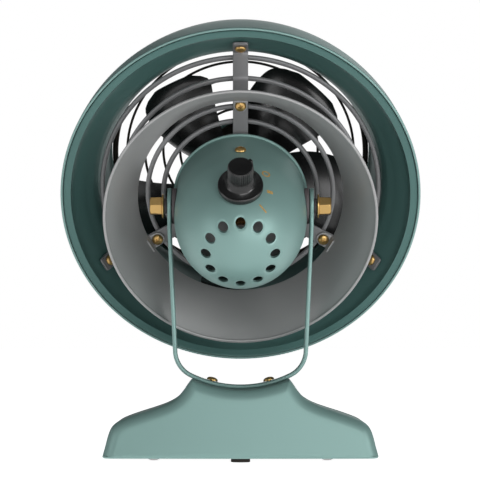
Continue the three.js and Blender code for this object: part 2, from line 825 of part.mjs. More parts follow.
function buildHousing(head) {
  const lip = 1.2;
  const outside = turned([
    [0, housingFront],
    [housingRadius + lip, housingFront],
    [housingRadius + lip, housingFront + lip],
    ...housingSide(housingRadius, housingFront + 2 * lip, domeLength, 8),
  ], 28);
  const inside = turned([
    [0, housingFront - 1],
    ...housingSide(housingRadius - housingWall, housingFront - 1, domeLength - housingWall, 5),
  ], 20);
  let shell = outside.subtract(inside);
  for (let i = 0; i < ventCount; i += 1) {
    const place = new THREE.Vector3(0, domeStart + domeLength, ventCircle);
    const vent = rod(ventRadius, 2 * domeLength, place, alongY, 8);
    const turnedVent = aroundAxis(vent, (i * 360) / ventCount);
    shell = shell.subtract(turnedVent.translate([0, 0, -ventDrop]));
  }
  shell = shell.subtract(pivotHole(boltRadius));
  shell = cutAround(shell, screwHole(housingScrewSeat, alongZ));
  const spindleHole = rod(spindleRadius + fitGap, 12, knobSeat, knobAxis, 20);
  addPiece(head, 'motor_housing', shell.subtract(spindleHole), 'paint');
  const shortScrew = screwAt(lifted(housingScrewSeat, alongZ), alongZ, screwHead, screwHeadHeight, 3);
  addAround(head, 'housing_screw', shortScrew, 'brass');
}

function buildPivots(head) {
  const housing = rod(housingRadius + fitGap, 200, origin, alongY, 56);
  for (const [name, side] of [['left', 1], ['right', -1]]) {
    const out = new THREE.Vector3(side, 0, 0);
    const between = (radius, from, to, sides) => {
      const middle = out.clone().multiplyScalar((from + to) / 2);
      return rod(radius, to - from, middle, out, sides);
    };
    const bore = pivotHole(boltRadius);
    const spacer = between(eyeRadius, housingRadius / 2, armInner - fitGap, 28);
    addPiece(head, `pivot_spacer_${name}`, spacer.subtract(housing).subtract(bore), 'spacer');

    const washerFrom = armOuter + fitGap;
    const washerTo = washerFrom + pivotWasherThickness;
    const washer = between(pivotWasherRadius, washerFrom, washerTo, 24);
    addPiece(head, `pivot_washer_${name}`, washer.subtract(bore), 'spacer');

    const flangeFrom = washerTo + fitGap;
    const flangeTo = flangeFrom + nutFlange;
    const nutEnd = flangeTo + nutLength;
    const corner = nutAcrossFlats / 2 / Math.cos(Math.PI / 6);
    const hexagon = between(corner, flangeTo - 0.2, nutEnd, 6);
    const thread = between(boltRadius + fitGap, flangeFrom - 1, nutEnd - 2, 24);
    const nut = between(nutFlangeRadius, flangeFrom, flangeTo, 30).add(hexagon).subtract(thread);
    addPiece(head, `pivot_nut_${name}`, nut, 'brass');

    const wallInside = housingRadius - housingWall;
    const headTo = Math.sqrt(wallInside ** 2 - boltHead ** 2) - boltHeadGap;
    const bolt = between(boltHead, headTo - boltHeadHeight, headTo, 6)
      .add(between(boltRadius, headTo - 0.5, nutEnd - 2 - fitGap, 24));
    addPiece(head, `pivot_bolt_${name}`, bolt, 'steel');
  }
}

function buildMotor(head) {
  const bore = shaftRadius + bushClearance;
  const statorBack = statorFront + statorLength;
  const tie = (hand) => new THREE.Vector3(hand * tieBoltCircle, 0, 0);
  const drill = (shape) => [1, -1].reduce(
    (left, hand) => left.subtract(rod(tieBoltRadius + fitGap, 200, tie(hand), alongY, 12)),
    shape,
  );

  const stator = turned([
    [statorBore, statorFront],
    [statorRadius, statorFront],
    [statorRadius, statorBack],
    [statorBore, statorBack],
  ], 28);
  addPiece(head, 'motor_stator', drill(stator), 'steel');

  for (const [name, face, way] of [['front', statorFront, -1], ['rear', statorBack, 1]]) {
    const at = (radius, distance) => [radius, face + way * distance];
    const coil = turned([
      at(coilInner, fitGap),
      at(coilOuter, fitGap),
      at(coilOuter, coilLength - 1),
      at(coilOuter - 1.5, coilLength),
      at(coilInner + 1, coilLength),
    ], 20);
    addPiece(head, `motor_coil_${name}`, coil, 'copper');

    const socket = bearingRadius + fitGap;
    const rim = statorRadius - 4;
    const bracket = turned([
      at(socket, bracketDepth - bearingLength),
      at(socket + 2, bracketDepth - bearingLength),
      at(socket + 2, bracketDepth),
      at(rim, bracketDepth),
      at(rim, fitGap),
      at(statorRadius, fitGap),
      at(statorRadius, bracketDepth + bracketWeb),
      at(socket, bracketDepth + bracketWeb),
    ], 18);
    addPiece(head, `motor_bracket_${name}`, drill(bracket), 'steel');

    const bearing = turned([
      at(bore, bracketDepth + bracketWeb - bearingLength),
      at(bearingRadius, bracketDepth + bracketWeb - bearingLength),
      at(bearingRadius, bracketDepth + bracketWeb),
      at(bore, bracketDepth + bracketWeb),
    ], 20);
    addPiece(head, `motor_bearing_${name}`, bearing, 'brass');
  }
}

function buildTieBolts(head) {
  const reach = bracketDepth + bracketWeb + fitGap;
  const from = statorFront - reach - tieBoltCap / 2;
  const to = statorFront + statorLength + reach + tieBoltCap / 2;
  for (const [name, hand] of [['left', 1], ['right', -1]]) {
    const x = hand * tieBoltCircle;
    const shank = rod(tieBoltRadius, to - from, new THREE.Vector3(x, (from + to) / 2, 0), alongY, 10);
    const cap = (y) => rod(2 * tieBoltRadius, tieBoltCap, new THREE.Vector3(x, y, 0), alongY, 6);
    addPiece(head, `tie_bolt_${name}`, shank.add(cap(from)).add(cap(to)), 'steel');
  }
}

// ---- fan: propeller, shaft, rotor ---------------------------------------------------

// Cross-section of a blade at one radius, wrapped round the axis: camber and a round nose.
function bladeLoop(radius) {
  const share = Math.max(radius - hubRadius, 0) / (bladeTip - hubRadius);
  const chord = bladeRootChord + (bladeWidestChord - bladeRootChord) * Math.sin(0.5 * Math.PI * share ** 0.8);
  const narrowing = share > 0.85 ? 1 - 0.6 * (share - 0.85) : 1;
  const pitch = (bladeRootPitch + (bladeTipPitch - bladeRootPitch) * share) * DEG;
  const sweep = bladeSweep * DEG * share ** 1.5;
  const points = [];
  const stations = [-0.5, -0.2, 0.15, 0.5];
  const place = (along, side) => {
    const camber = 0.07 * chord * (1 - 4 * along * along);
    const thick = (bladeThickness / 2) * (1 - 0.9 * Math.abs(2 * along) ** 2) + 0.15;
    const across = camber + side * thick;
    const turn = sweep + (along * chord * narrowing * Math.cos(pitch) - across * Math.sin(pitch)) / radius;
    const y = bladeMid + along * chord * narrowing * Math.sin(pitch) + across * Math.cos(pitch);
    return new THREE.Vector3(radius * Math.cos(turn), y, radius * Math.sin(turn));
  };
  for (const along of stations) points.push(place(along, 1));
  for (const along of stations.slice().reverse()) points.push(place(along, -1));
  return points;
}

function buildFan(fan) {
  const hubFront = bladeMid - hubLength / 2;
  const hubBack = bladeMid + hubLength / 2;
  let propeller = turned([
    [0, hubFront],
    [hubRadius - 4, hubFront + 0.8],
    [hubRadius - 0.8, hubFront + 4],
    [hubRadius, hubFront + 8],
    [hubRadius, hubBack],
    [0, hubBack],
  ], 28);
  const steps = 4;
  const loops = [];
  for (let i = 0; i <= steps; i += 1) {
    loops.push(bladeLoop(hubRadius - 2 + ((bladeTip - hubRadius + 2) * i) / steps));
  }
  const blade = loft(loops);
  for (let i = 0; i < bladeCount; i += 1) {
    propeller = propeller.add(aroundAxis(blade, firstBlade + (i * 360) / bladeCount));
  }
  const socketFront = hubFront + hubSkin;
  const socket = new THREE.Vector3(0, (socketFront + hubBack + 1) / 2, 0);
  propeller = propeller.subtract(
    rod(shaftRadius + fitGap, hubBack + 1 - socketFront, socket, alongY, 20),
  );
  addPiece(fan, 'propeller', propeller, 'black');

  const shaftFront = socketFront + fitGap;
  const shaftBack = statorFront + statorLength + bracketDepth + bracketWeb + shaftTail;
  const middle = new THREE.Vector3(0, (shaftFront + shaftBack) / 2, 0);
  addPiece(fan, 'motor_shaft', rod(shaftRadius, shaftBack - shaftFront, middle, alongY, 20), 'steel');

  const rotorFront = statorFront + (statorLength - rotorLength) / 2;
  const rotor = turned([
    [shaftRadius + fitGap, rotorFront],
    [rotorRadius, rotorFront],
    [rotorRadius, rotorFront + rotorLength],
    [shaftRadius + fitGap, rotorFront + rotorLength],
  ], 28);
  addPiece(fan, 'motor_rotor', rotor, 'steel');
}

// ---- knob and switch ----------------------------------------------------------------

// Drawn with Y as the knob's axis, outwards, and Z towards the head's front.
function buildKnob(knob) {
  const skirtRise = 0.38 * skirtHeight;
  const inner = skirtRadius - 2.4;
  let body = turned([
    [0, fitGap + 1],
    [inner, fitGap + 1],
    [inner + 0.5, skirtDrop],
    [skirtRadius - 0.6, skirtDrop],
    [skirtRadius, skirtRise],
    [skirtRadius - 0.3, skirtHeight - 0.8],
    [skirtRadius - 1.4, skirtHeight],
    [gripRadius + 2.4, skirtHeight + 1.2],
    [gripRadius + 0.9, skirtHeight + 3],
    [gripRadius + 0.2, skirtHeight + 6],
    [0, skirtHeight + 6],
  ], 28);
  const outline = [];
  for (let i = 0; i < 2 * gripFlutes; i += 1) {
    const angle = (i / (2 * gripFlutes)) * TAU;
    const radius = gripRadius - (i % 2 === 0 ? fluteDepth : 0);
    outline.push(new THREE.Vector2(radius * Math.cos(angle), radius * Math.sin(angle)));
  }
  const gripHeight = knobHeight - skirtHeight - 2;
  const grip = new THREE.ExtrudeGeometry(new THREE.Shape(outline), {
    depth: gripHeight - 0.8,
    bevelSize: 0.8,
    bevelOffset: -0.8,
    bevelThickness: 0.8,
    bevelSegments: 1,
  });
  grip.rotateX(-Math.PI / 2);
  grip.translate(0, skirtHeight + 2, 0);
  body = body.add(solid(grip));

  // The pointer is a fin from the grip out over the skirt.
  const fin = new THREE.Shape();
  fin.moveTo(0, skirtHeight - 0.5);
  fin.lineTo(skirtRadius - 1.2, skirtHeight - 0.5);
  fin.lineTo(gripRadius + 2.6, skirtHeight + 4);
  fin.lineTo(gripRadius + 1.6, knobHeight - 0.6);
  fin.lineTo(0, knobHeight - 0.6);
  const blade = new THREE.ExtrudeGeometry(fin, { depth: pointerWidth, bevelEnabled: false });
  blade.translate(0, 0, -pointerWidth / 2);
  body = body.add(solid(blade));
  const boreTop = knobHeight - 4;
  const bore = new THREE.Vector3(0, boreTop / 2, 0);
  body = body.subtract(rod(spindleRadius + fitGap, boreTop + 2, bore, alongY, 20));
  const dish = new THREE.SphereGeometry(dishRadius, 24, 12);
  dish.translate(0, knobHeight + dishRadius - 0.9, 0);
  addPiece(knob, 'speed_knob', body.subtract(solid(dish)), 'black');

  const spindleTop = boreTop + 1 - fitGap;
  const spindleLow = -housingWall - switchSetback - spindleInSwitch;
  const middle = new THREE.Vector3(0, (spindleTop + spindleLow) / 2, 0);
  const spindle = rod(spindleRadius, spindleTop - spindleLow, middle, alongY, 20);
  addPiece(knob, 'switch_spindle', spindle, 'steel');
}

// The switch hangs inside the dome, under the knob.
function buildSwitch(seat) {
  const top = -housingWall - switchSetback;
  const box = new THREE.BoxGeometry(switchSide, switchDepth, switchSide);
  box.translate(0, top - switchDepth / 2, 0);
  const depth = spindleInSwitch + fitGap;
  const pocket = new THREE.Vector3(0, top - depth / 2, 0);
  const well = rod(spindleRadius + fitGap, 2 * depth, pocket, alongY, 20);
  addPiece(seat, 'speed_switch', solid(box).subtract(well), 'black');
}

// ---- the whole fan ------------------------------------------------------------------

const group = new THREE.Group();
const stand = new THREE.Group();
buildStand(stand);
group.add(stand);

const head = new THREE.Group();
head.position.set(0, 0, pivotHeight);
head.rotation.x = -restTilt * DEG;
buildDuct(head);
buildGuard(head);
buildCone(head);
buildGrille(head);
buildHousing(head);
buildPivots(head);
buildMotor(head);
buildTieBolts(head);
buildFan(head);
group.add(head);

const knobSeatGroup = new THREE.Group();
knobSeatGroup.position.copy(knobSeat);
knobSeatGroup.quaternion.setFromUnitVectors(alongY, knobAxis);
buildSwitch(knobSeatGroup);
head.add(knobSeatGroup);

const knob = new THREE.Group();
knob.rotation.y = (180 + offMark) * DEG;
buildKnob(knob);
knobSeatGroup.add(knob);

// The origin is on the floor, under the middle of the whole fan.
group.updateMatrixWorld(true);
const span = new THREE.Box3().setFromObject(group, true);
group.position.y = -(span.min.y + span.max.y) / 2;

export default group;
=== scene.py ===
import json
import math

import bmesh
import bpy
from mathutils import Matrix, Vector


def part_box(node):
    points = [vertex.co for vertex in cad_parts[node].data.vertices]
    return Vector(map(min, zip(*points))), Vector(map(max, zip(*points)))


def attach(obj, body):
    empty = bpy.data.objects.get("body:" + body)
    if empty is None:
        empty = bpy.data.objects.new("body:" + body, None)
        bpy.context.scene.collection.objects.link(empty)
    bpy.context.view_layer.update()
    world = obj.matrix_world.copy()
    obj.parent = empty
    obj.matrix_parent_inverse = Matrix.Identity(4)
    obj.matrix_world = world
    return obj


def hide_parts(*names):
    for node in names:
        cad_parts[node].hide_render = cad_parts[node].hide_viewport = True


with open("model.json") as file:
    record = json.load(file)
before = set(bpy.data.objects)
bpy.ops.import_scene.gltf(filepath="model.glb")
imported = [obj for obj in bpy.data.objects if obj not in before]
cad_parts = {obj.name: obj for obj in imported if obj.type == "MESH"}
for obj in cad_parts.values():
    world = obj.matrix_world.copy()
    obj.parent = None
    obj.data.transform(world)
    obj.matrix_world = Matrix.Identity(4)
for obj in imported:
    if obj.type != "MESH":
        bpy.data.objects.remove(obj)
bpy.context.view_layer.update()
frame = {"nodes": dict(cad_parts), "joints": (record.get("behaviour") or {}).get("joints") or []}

bl_info = {
    "name": "Desk fan",
    "version": (1, 0, 0),
    "blender": (4, 5, 0),
    "location": "3D View > Sidebar > Desk fan",
    "description": "Detailed pieces and finishes of a tilting desk fan around its CAD frame",
    "category": "Object",
}

MM = 0.001
TAU = 2 * math.pi
JOINTS = {joint["name"]: joint for joint in frame["joints"]}
PIVOT = Vector(JOINTS["head_tilt"]["pos_m"])


def upright_frame(place, along):
    """A frame at place with Y along the given direction and X across the fan."""
    y = Vector(along).normalized()
    x = Vector((1, 0, 0))
    z = x.cross(y)
    turn = Matrix((x, y, z)).transposed()
    return Matrix.Translation(place) @ turn.to_4x4()


# In the head's frame Y runs back along the fan's axis and Z is the head's own up.
HEAD = upright_frame(PIVOT, -Vector(JOINTS["fan_spin"]["axis"]))
KNOB = upright_frame(JOINTS["knob_turn"]["pos_m"], -Vector(JOINTS["knob_turn"]["axis"]))
SIDES = {"top": 0, "left": 120, "right": -120}


def local_box(node, place=HEAD):
    """Lowest and highest corner of a CAD node in a tilted frame, in millimetres."""
    back = place.inverted()
    points = [back @ vertex.co for vertex in frame["nodes"][node].data.vertices]
    low = Vector([min(p[i] for p in points) for i in range(3)]) / MM
    high = Vector([max(p[i] for p in points) for i in range(3)]) / MM
    return low, high


# ---- numbers and curves -----------------------------------------------------------------


def lerp(a, b, t):
    """The number a share t of the way from a to b."""
    return a + (b - a) * t


def ease(t):
    """A share that starts and ends gently, held between 0 and 1."""
    t = min(max(t, 0.0), 1.0)
    return t * t * (3 - 2 * t)


def spline(points, count):
    """Points of a smooth curve through the given ones."""
    last = len(points) - 1
    out = []
    for step in range(count + 1):
        at = last * step / count
        i = min(int(at), last - 1)
        t = at - i
        p0, p1 = points[max(i - 1, 0)], points[i]
        p2, p3 = points[i + 1], points[min(i + 2, last)]
        out.append(tuple(
            b + 0.5 * t * (c - a + t * (2 * a - 5 * b + 4 * c - d + t * (3 * (b - c) + d - a)))
            for a, b, c, d in zip(p0, p1, p2, p3)
        ))
    return out


def arc(centre, radius, start, end, steps):
    """Points of an arc, with the angles in degrees."""
    out = []
    for i in range(steps + 1):
        angle = math.radians(lerp(start, end, i / steps))
        out.append((centre[0] + radius * math.cos(angle), centre[1] + radius * math.sin(angle)))
    return out


def offset(points, distance, closed=False):
    """A line of (a, b) points moved sideways, to its left for a positive distance."""
    count = len(points)
    out = []
    for i, (a, b) in enumerate(points):
        before = points[i - 1] if closed or i > 0 else points[0]
        after = points[(i + 1) % count] if closed or i < count - 1 else points[-1]
        along = Vector((after[0] - before[0], after[1] - before[1])).normalized()
        out.append((a - along.y * distance, b + along.x * distance))
    return out


def rounded_box(width, height, radius, steps=3):
    """Corners of a rounded rectangle round the origin."""
    half_w, half_h = width / 2 - radius, height / 2 - radius
    out = []
    for x, y, start in ((1, 1, 0), (-1, 1, 90), (-1, -1, 180), (1, -1, 270)):
        out += arc((x * half_w, y * half_h), radius, start, start + 90, steps)
    return out


# ---- meshes -----------------------------------------------------------------------------


class Shape:
    """Points and faces of a piece in millimetres, with a running length for each point."""

    def __init__(self):
        self.points = []
        self.faces = []
        self.along = []

    def add(self, points, faces, along=None):
        start = len(self.points)
        self.points += [Vector(p) for p in points]
        self.faces += [[start + i for i in face] for face in faces]
        self.along += along or [0.0] * len(points)
        return self

    def join(self, other, turn=None):
        points = [turn @ p for p in other.points] if turn else other.points
        return self.add(points, other.faces, other.along)


def grid(rows, wrap_rows=False, wrap_columns=True, caps=(False, False)):
    """A skin over rows that all have the same number of points."""
    count = len(rows[0])
    faces = []
    row_steps = len(rows) if wrap_rows else len(rows) - 1
    for j in range(row_steps):
        k = (j + 1) % len(rows)
        for i in range(count if wrap_columns else count - 1):
            n = (i + 1) % count
            faces.append([j * count + i, j * count + n, k * count + n, k * count + i])
    if caps[0]:
        faces.append(list(range(count))[::-1])
    if caps[1]:
        faces.append([(len(rows) - 1) * count + i for i in range(count)])
    return [p for row in rows for p in row], faces


def lathe_waved(profile, steps, wave=None):
    """A skin turned about Y, whose radius the wave changes with the angle."""
    rows = []
    for radius, y in profile:
        row = []
        for i in range(steps):
            angle = TAU * i / steps
            r = max(radius + (wave(angle, radius, y) if wave else 0.0), 0.0)
            row.append((r * math.cos(angle), y, r * math.sin(angle)))
        rows.append(row)
    points, faces = grid(rows)
    return Shape().add(points, faces)


def lathe(profile, steps=180):
    """A skin turned about Y from (radius, y) points. Off the axis it is closed into a ring."""
    closed = profile[0][0] > 1e-6 or profile[-1][0] > 1e-6
    rows, along, run = [], [], 0.0
    for k, (radius, y) in enumerate(profile):
        if k:
            run += math.dist(profile[k], profile[k - 1])
        row = []
        for i in range(steps):
            angle = TAU * i / steps
            row.append((radius * math.cos(angle), y, radius * math.sin(angle)))
        rows.append(row)
        along += [run * MM] * steps
    points, faces = grid(rows, wrap_rows=closed)
    return Shape().add(points, faces, along)


def sweep(path, sections, closed=False):
    """Sections of (side, up) points carried along a path of (point, side, up) frames."""
    rows, along, run = [], [], 0.0
    for k, (place, side, up) in enumerate(path):
        if k:
            run += (place - path[k - 1][0]).length
        section = sections[k] if isinstance(sections[0][0], (list, tuple)) else sections
        rows.append([place + side * a + up * b for a, b in section])
        along += [run * MM] * len(section)
    points, faces = grid(rows, wrap_rows=closed, caps=(not closed, not closed))
    return Shape().add(points, faces, along)


def tube(points, radius, sides=10, closed=False):
    """A round wire along 3D points."""
    count = len(points)
    path = []
    side = None
    for i, place in enumerate(points):
        before = points[i - 1] if closed or i > 0 else points[0]
        after = points[(i + 1) % count] if closed or i < count - 1 else points[-1]
        along = (Vector(after) - Vector(before)).normalized()
        if side is None:
            side = along.orthogonal().normalized()
        side = (side - along * side.dot(along)).normalized()
        path.append((Vector(place), side, along.cross(side)))
    return sweep(path, arc((0, 0), radius, 0, 360 - 360 / sides, sides - 1), closed)


def mark_edges(mesh):
    """Stores how sharply each point stands out (worn) or lies in a hollow that gets painted shade."""
    total = [0.0] * len(mesh.vertices)
    count = [0] * len(mesh.vertices)
    places = [v.co.copy() for v in mesh.vertices]
    normals = [v.normal.copy() for v in mesh.vertices]
    for edge in mesh.edges:
        a, b = edge.vertices
        step = places[b] - places[a]
        square = max(step.length_squared, 1e-12)
        total[a] -= normals[a].dot(step) / square
        total[b] += normals[b].dot(step) / square
        count[a] += 1
        count[b] += 1
    worn = mesh.attributes.new("worn", "FLOAT", "POINT")
    # This mark drives the painted shade in concave corners.
    hollow_shade = mesh.attributes.new("hollow_shade", "FLOAT", "POINT")
    for i, (value, links) in enumerate(zip(total, count)):
        bend = value / max(links, 1) * MM
        worn.data[i].value = ease((bend - 0.05) / 0.35)
        hollow_shade.data[i].value = ease((-bend - 0.05) / 0.3)


def mesh_of(name, shape, place, degenerate=True):
    """A mesh in metres from a shape, with joined points and its faces turned out."""
    mesh = bpy.data.meshes.new(name)
    mesh.from_pydata([place @ (p * MM) for p in shape.points], [], shape.faces)
    run = mesh.attributes.new("along", "FLOAT", "POINT")
    run.data.foreach_set("value", shape.along)
    built = bmesh.new()
    built.from_mesh(mesh)
    bmesh.ops.remove_doubles(built, verts=built.verts, dist=1e-6)
    if degenerate:
        bmesh.ops.dissolve_degenerate(built, edges=built.edges, dist=1e-7)
    bmesh.ops.recalc_face_normals(built, faces=built.faces)
    built.to_mesh(mesh)
    built.free()
    return mesh


def make(name, shape, body, slot, place=HEAD, replaced=(), sharp=40):
    """A finished piece from a shape: cleaned, smoothed, painted and tied to its body."""
    return settle(name, mesh_of(name, shape, place), body, slot, replaced, sharp)


def settle(name, mesh, body, slot, replaced=(), sharp=40, place=None):
    """Smooths, paints and ties a mesh. It replaces the node it is named after, or none for None."""
    mesh.shade_smooth()
    mesh.set_sharp_from_angle(angle=math.radians(sharp))
    if "worn" not in mesh.attributes:
        mark_edges(mesh)
    piece = bpy.data.objects.new(name, mesh)
    bpy.context.scene.collection.objects.link(piece)
    if place is not None:
        piece.matrix_world = place
    if not mesh.materials:
        mesh.materials.append(finish(slot))
    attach(piece, body)
    if replaced is not None:
        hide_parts(*(replaced or (name.removesuffix("_detail"),)))
    return piece


def cut(shape, tools, place=HEAD):
    """The shape with the tools' space taken out, as a mesh."""
    made = []
    for part in (shape, tools):
        mesh = mesh_of("blank", part, Matrix.Identity(4), degenerate=False)
        blank = bpy.data.objects.new("blank", mesh)
        bpy.context.scene.collection.objects.link(blank)
        made.append(blank)
    change = made[0].modifiers.new("cut", "BOOLEAN")
    change.operation = "DIFFERENCE"
    change.solver = "EXACT"
    change.object = made[1]
    bpy.context.view_layer.update()
    graph = bpy.context.evaluated_depsgraph_get()
    result = bpy.data.meshes.new_from_object(made[0].evaluated_get(graph))
    for blank in made:
        mesh = blank.data
        bpy.data.objects.remove(blank)
        bpy.data.meshes.remove(mesh)
    result.transform(place)
    result.update()
    return result


def turned_about(degrees):
    """The turn that takes a piece drawn at the head's top to another side of it."""
    return Matrix.Rotation(math.radians(degrees), 4, "Y")


# ---- finishes ---------------------------------------------------------------------------

# Colour, second colour of the clouding, worn edge colour, colour of the painted shade in concave corners,
# which the random dirt specks also use.
COLOURS = {
    "green_paint": ("73918e", "6c8b87", "93aaa6", "4f6d6a"),
    # The bell's paint: the shell's green drawn darker as painted shade.
    "dark_green_paint": ("6a8b87", "62827e", "86a09c", "3f5c58"),
    "cone_grey": ("8f8c8c", "858282", "b0adac", "5d5a5a"),
    "guard_grey": ("8f8a8b", "827d7e", "b5b0b0", "4d4a49"),
    "brass": ("cfa670", "a97c48", "ecd3a0", "4a2c12"),
    "bronze": ("9a6b3c", "805428", "c59a64", "3a2410"),
    "black_plastic": ("161617", "1d1d1e", "3a3a3b", "0b0b0b"),
    "wire_black": ("1d1715", "28201d", "4f433e", "0c0a09"),
    "spacer_grey": ("574c52", "4d4348", "7c7178", "2f282c"),
    "rubber": ("241a15", "2d221c", "43362f", "120c09"),
    "steel": ("a3a3a2", "8d8d8c", "cfcfcd", "4a4845"),
    "copper_winding": ("a4572c", "8a4320", "cf8350", "431c0a"),
    "lamination": ("6c6a67", "5a5855", "969390", "302e2c"),
}
# Metallic, roughness from and to, coat weight, coat roughness.
SHEENS = {
    "green_paint": (0.0, 0.24, 0.34, 1.0, 0.045),
    "dark_green_paint": (0.0, 0.2, 0.3, 1.0, 0.045),
    "cone_grey": (0.15, 0.26, 0.4, 0.6, 0.08),
    "guard_grey": (0.2, 0.3, 0.46, 0.35, 0.12),
    "brass": (1.0, 0.18, 0.36, 0.0, 0.1),
    "bronze": (1.0, 0.3, 0.5, 0.0, 0.1),
    "black_plastic": (0.0, 0.3, 0.46, 0.15, 0.2),
    "wire_black": (0.0, 0.3, 0.45, 0.3, 0.15),
    "spacer_grey": (0.0, 0.42, 0.58, 0.1, 0.2),
    "rubber": (0.0, 0.75, 0.92, 0.0, 0.3),
    "steel": (1.0, 0.24, 0.42, 0.0, 0.1),
    "copper_winding": (0.9, 0.26, 0.42, 0.4, 0.1),
    "lamination": (0.9, 0.4, 0.6, 0.0, 0.1),
}
# Grain scale per metre, grain height in mm, pitch in mm and height in mm of lines along a
# piece, share of worn edges, share of painted shade in concave corners.
GRAINS = {
    "green_paint": (520, 0.010, 0.0, 0.0, 0.35, 0.35),
    "dark_green_paint": (520, 0.008, 0.9, 0.010, 0.25, 0.4),
    "cone_grey": (640, 0.006, 0.7, 0.012, 0.4, 0.4),
    "guard_grey": (900, 0.015, 0.0, 0.0, 0.6, 0.5),
    "brass": (1400, 0.012, 0.35, 0.010, 0.7, 0.9),
    "bronze": (1500, 0.03, 0.4, 0.02, 0.5, 0.8),
    "black_plastic": (2600, 0.02, 0.0, 0.0, 0.6, 0.4),
    "wire_black": (1500, 0.02, 0.0, 0.0, 0.5, 0.5),
    "spacer_grey": (2200, 0.02, 0.0, 0.0, 0.5, 0.5),
    "rubber": (1800, 0.05, 0.0, 0.0, 0.3, 0.3),
    "steel": (1500, 0.012, 0.3, 0.010, 0.6, 0.8),
    "copper_winding": (900, 0.02, 0.55, 0.12, 0.4, 0.6),
    "lamination": (900, 0.02, 0.5, 0.10, 0.5, 0.7),
}


def linear(text):
    """Linear red, green and blue from a six-figure colour."""
    out = []
    for i in (0, 2, 4):
        value = int(text[i:i + 2], 16) / 255
        out.append(value / 12.92 if value <= 0.04045 else ((value + 0.055) / 1.055) ** 2.4)
    return (*out, 1.0)


class Bench:
    """Adds and links the nodes of one material."""

    def __init__(self, tree):
        self.tree = tree

    def node(self, kind, links=None, **settings):
        made = self.tree.nodes.new(kind)
        for key, value in settings.items():
            setattr(made, key, value)
        for socket, value in (links or {}).items():
            if isinstance(value, bpy.types.NodeSocket):
                self.tree.links.new(value, made.inputs[socket])
            else:
                made.inputs[socket].default_value = value
        return made

    def maths(self, operation, a, b=0.0, clamp=False):
        made = self.node("ShaderNodeMath", {0: a, 1: b}, operation=operation, use_clamp=clamp)
        return made.outputs[0]

    def noise(self, vector, scale, detail=3.0, roughness=0.5):
        links = {"Vector": vector, "Scale": scale, "Detail": detail, "Roughness": roughness}
        return self.node("ShaderNodeTexNoise", links).outputs[0]

    def spread(self, value, low, high, to_low=0.0, to_high=1.0):
        links = {"Value": value, "From Min": low, "From Max": high}
        links.update({"To Min": to_low, "To Max": to_high})
        return self.node("ShaderNodeMapRange", links, clamp=True).outputs[0]

    def blend(self, share, a, b):
        made = self.node("ShaderNodeMix", {0: share, 6: a, 7: b}, data_type="RGBA")
        return made.outputs[2]

    def stored(self, name):
        return self.node("ShaderNodeAttribute", attribute_name=name).outputs["Fac"]


def finish(slot):
    """The node material of one slot: clouded colour, grain, worn edges, painted shade in concave corners."""
    if slot in bpy.data.materials:
        return bpy.data.materials[slot]
    material = bpy.data.materials.new(slot)
    material.use_nodes = True
    tree = material.node_tree
    bench = Bench(tree)
    shader = tree.nodes["Principled BSDF"]
    main = (*getattr(bpy.context.scene.fan_colours, slot), 1.0)
    second, worn_colour, shade_and_dirt_colour = (linear(c) for c in COLOURS[slot][1:])
    metallic, rough_low, rough_high, coat, coat_rough = SHEENS[slot]
    grain_scale, grain_height, pitch, line_height, worn_share, hollow_shade_share = GRAINS[slot]

    place = bench.node("ShaderNodeTexCoord").outputs["Object"]
    cloud = bench.noise(place, 24.0, 4.0, 0.55)
    grain = bench.noise(place, float(grain_scale), 2.0)
    patch = bench.noise(place, 260.0, 5.0, 0.65)
    speck = bench.noise(place, 1900.0, 1.0)

    worn = bench.maths("MULTIPLY", bench.stored("worn"), bench.spread(patch, 0.42, 0.62))
    worn = bench.maths("MULTIPLY", worn, worn_share)
    # Painted shade: the concave-corner mark, scaled by its share, also makes the corners rougher.
    hollow_shade = bench.maths("MULTIPLY", bench.stored("hollow_shade"), bench.spread(patch, 0.3, 0.6, 0.5))
    hollow_shade = bench.maths("MULTIPLY", hollow_shade, hollow_shade_share)
    colour = bench.blend(bench.spread(cloud, 0.35, 0.65), main, second)
    # Random dirt specks in the same dark colour.
    colour = bench.blend(bench.spread(speck, 0.66, 0.8, 0.0, 0.25), colour, shade_and_dirt_colour)
    # Painted shade laid into the concave corners.
    colour = bench.blend(hollow_shade, colour, shade_and_dirt_colour)
    colour = bench.blend(worn, colour, worn_colour)
    tree.links.new(colour, shader.inputs["Base Color"])

    rough = bench.spread(patch, 0.3, 0.7, rough_low, rough_high)
    rough = bench.maths("ADD", rough, bench.maths("MULTIPLY", worn, 0.18))
    rough = bench.maths("ADD", rough, bench.maths("MULTIPLY", hollow_shade, 0.25), clamp=True)
    tree.links.new(rough, shader.inputs["Roughness"])

    height = bench.maths("MULTIPLY", grain, grain_height)
    if pitch:
        turns = bench.maths("MULTIPLY", bench.stored("along"), TAU / (pitch * MM))
        line = bench.maths("MULTIPLY", bench.maths("SINE", turns), 0.5 * line_height)
        line = bench.maths("MULTIPLY", line, bench.spread(cloud, 0.3, 0.7, 0.4))
        height = bench.maths("ADD", height, line)
    bump = bench.node("ShaderNodeBump", {"Height": height, "Strength": 1.0, "Distance": MM})
    tree.links.new(bump.outputs[0], shader.inputs["Normal"])

    shader.inputs["Metallic"].default_value = metallic
    shader.inputs["Coat Weight"].default_value = coat
    shader.inputs["Coat Roughness"].default_value = coat_rough
    shader.inputs["IOR"].default_value = 1.5
    return material


# ---- sizes and colours ------------------------------------------------------------------


def colour_property(slot):
    """The colour setting of one finish."""
    label = slot.replace("_", " ")
    return bpy.props.FloatVectorProperty(
        name=label.capitalize(),
        description=f"Main colour of the {label}",
        subtype="COLOR",
        size=3,
        min=0.0,
        max=1.0,
        default=linear(COLOURS[slot][0])[:3],
    )


class FanColours(bpy.types.PropertyGroup):
    """The main colour of each finish."""

    __annotations__ = {slot: colour_property(slot) for slot in COLOURS}


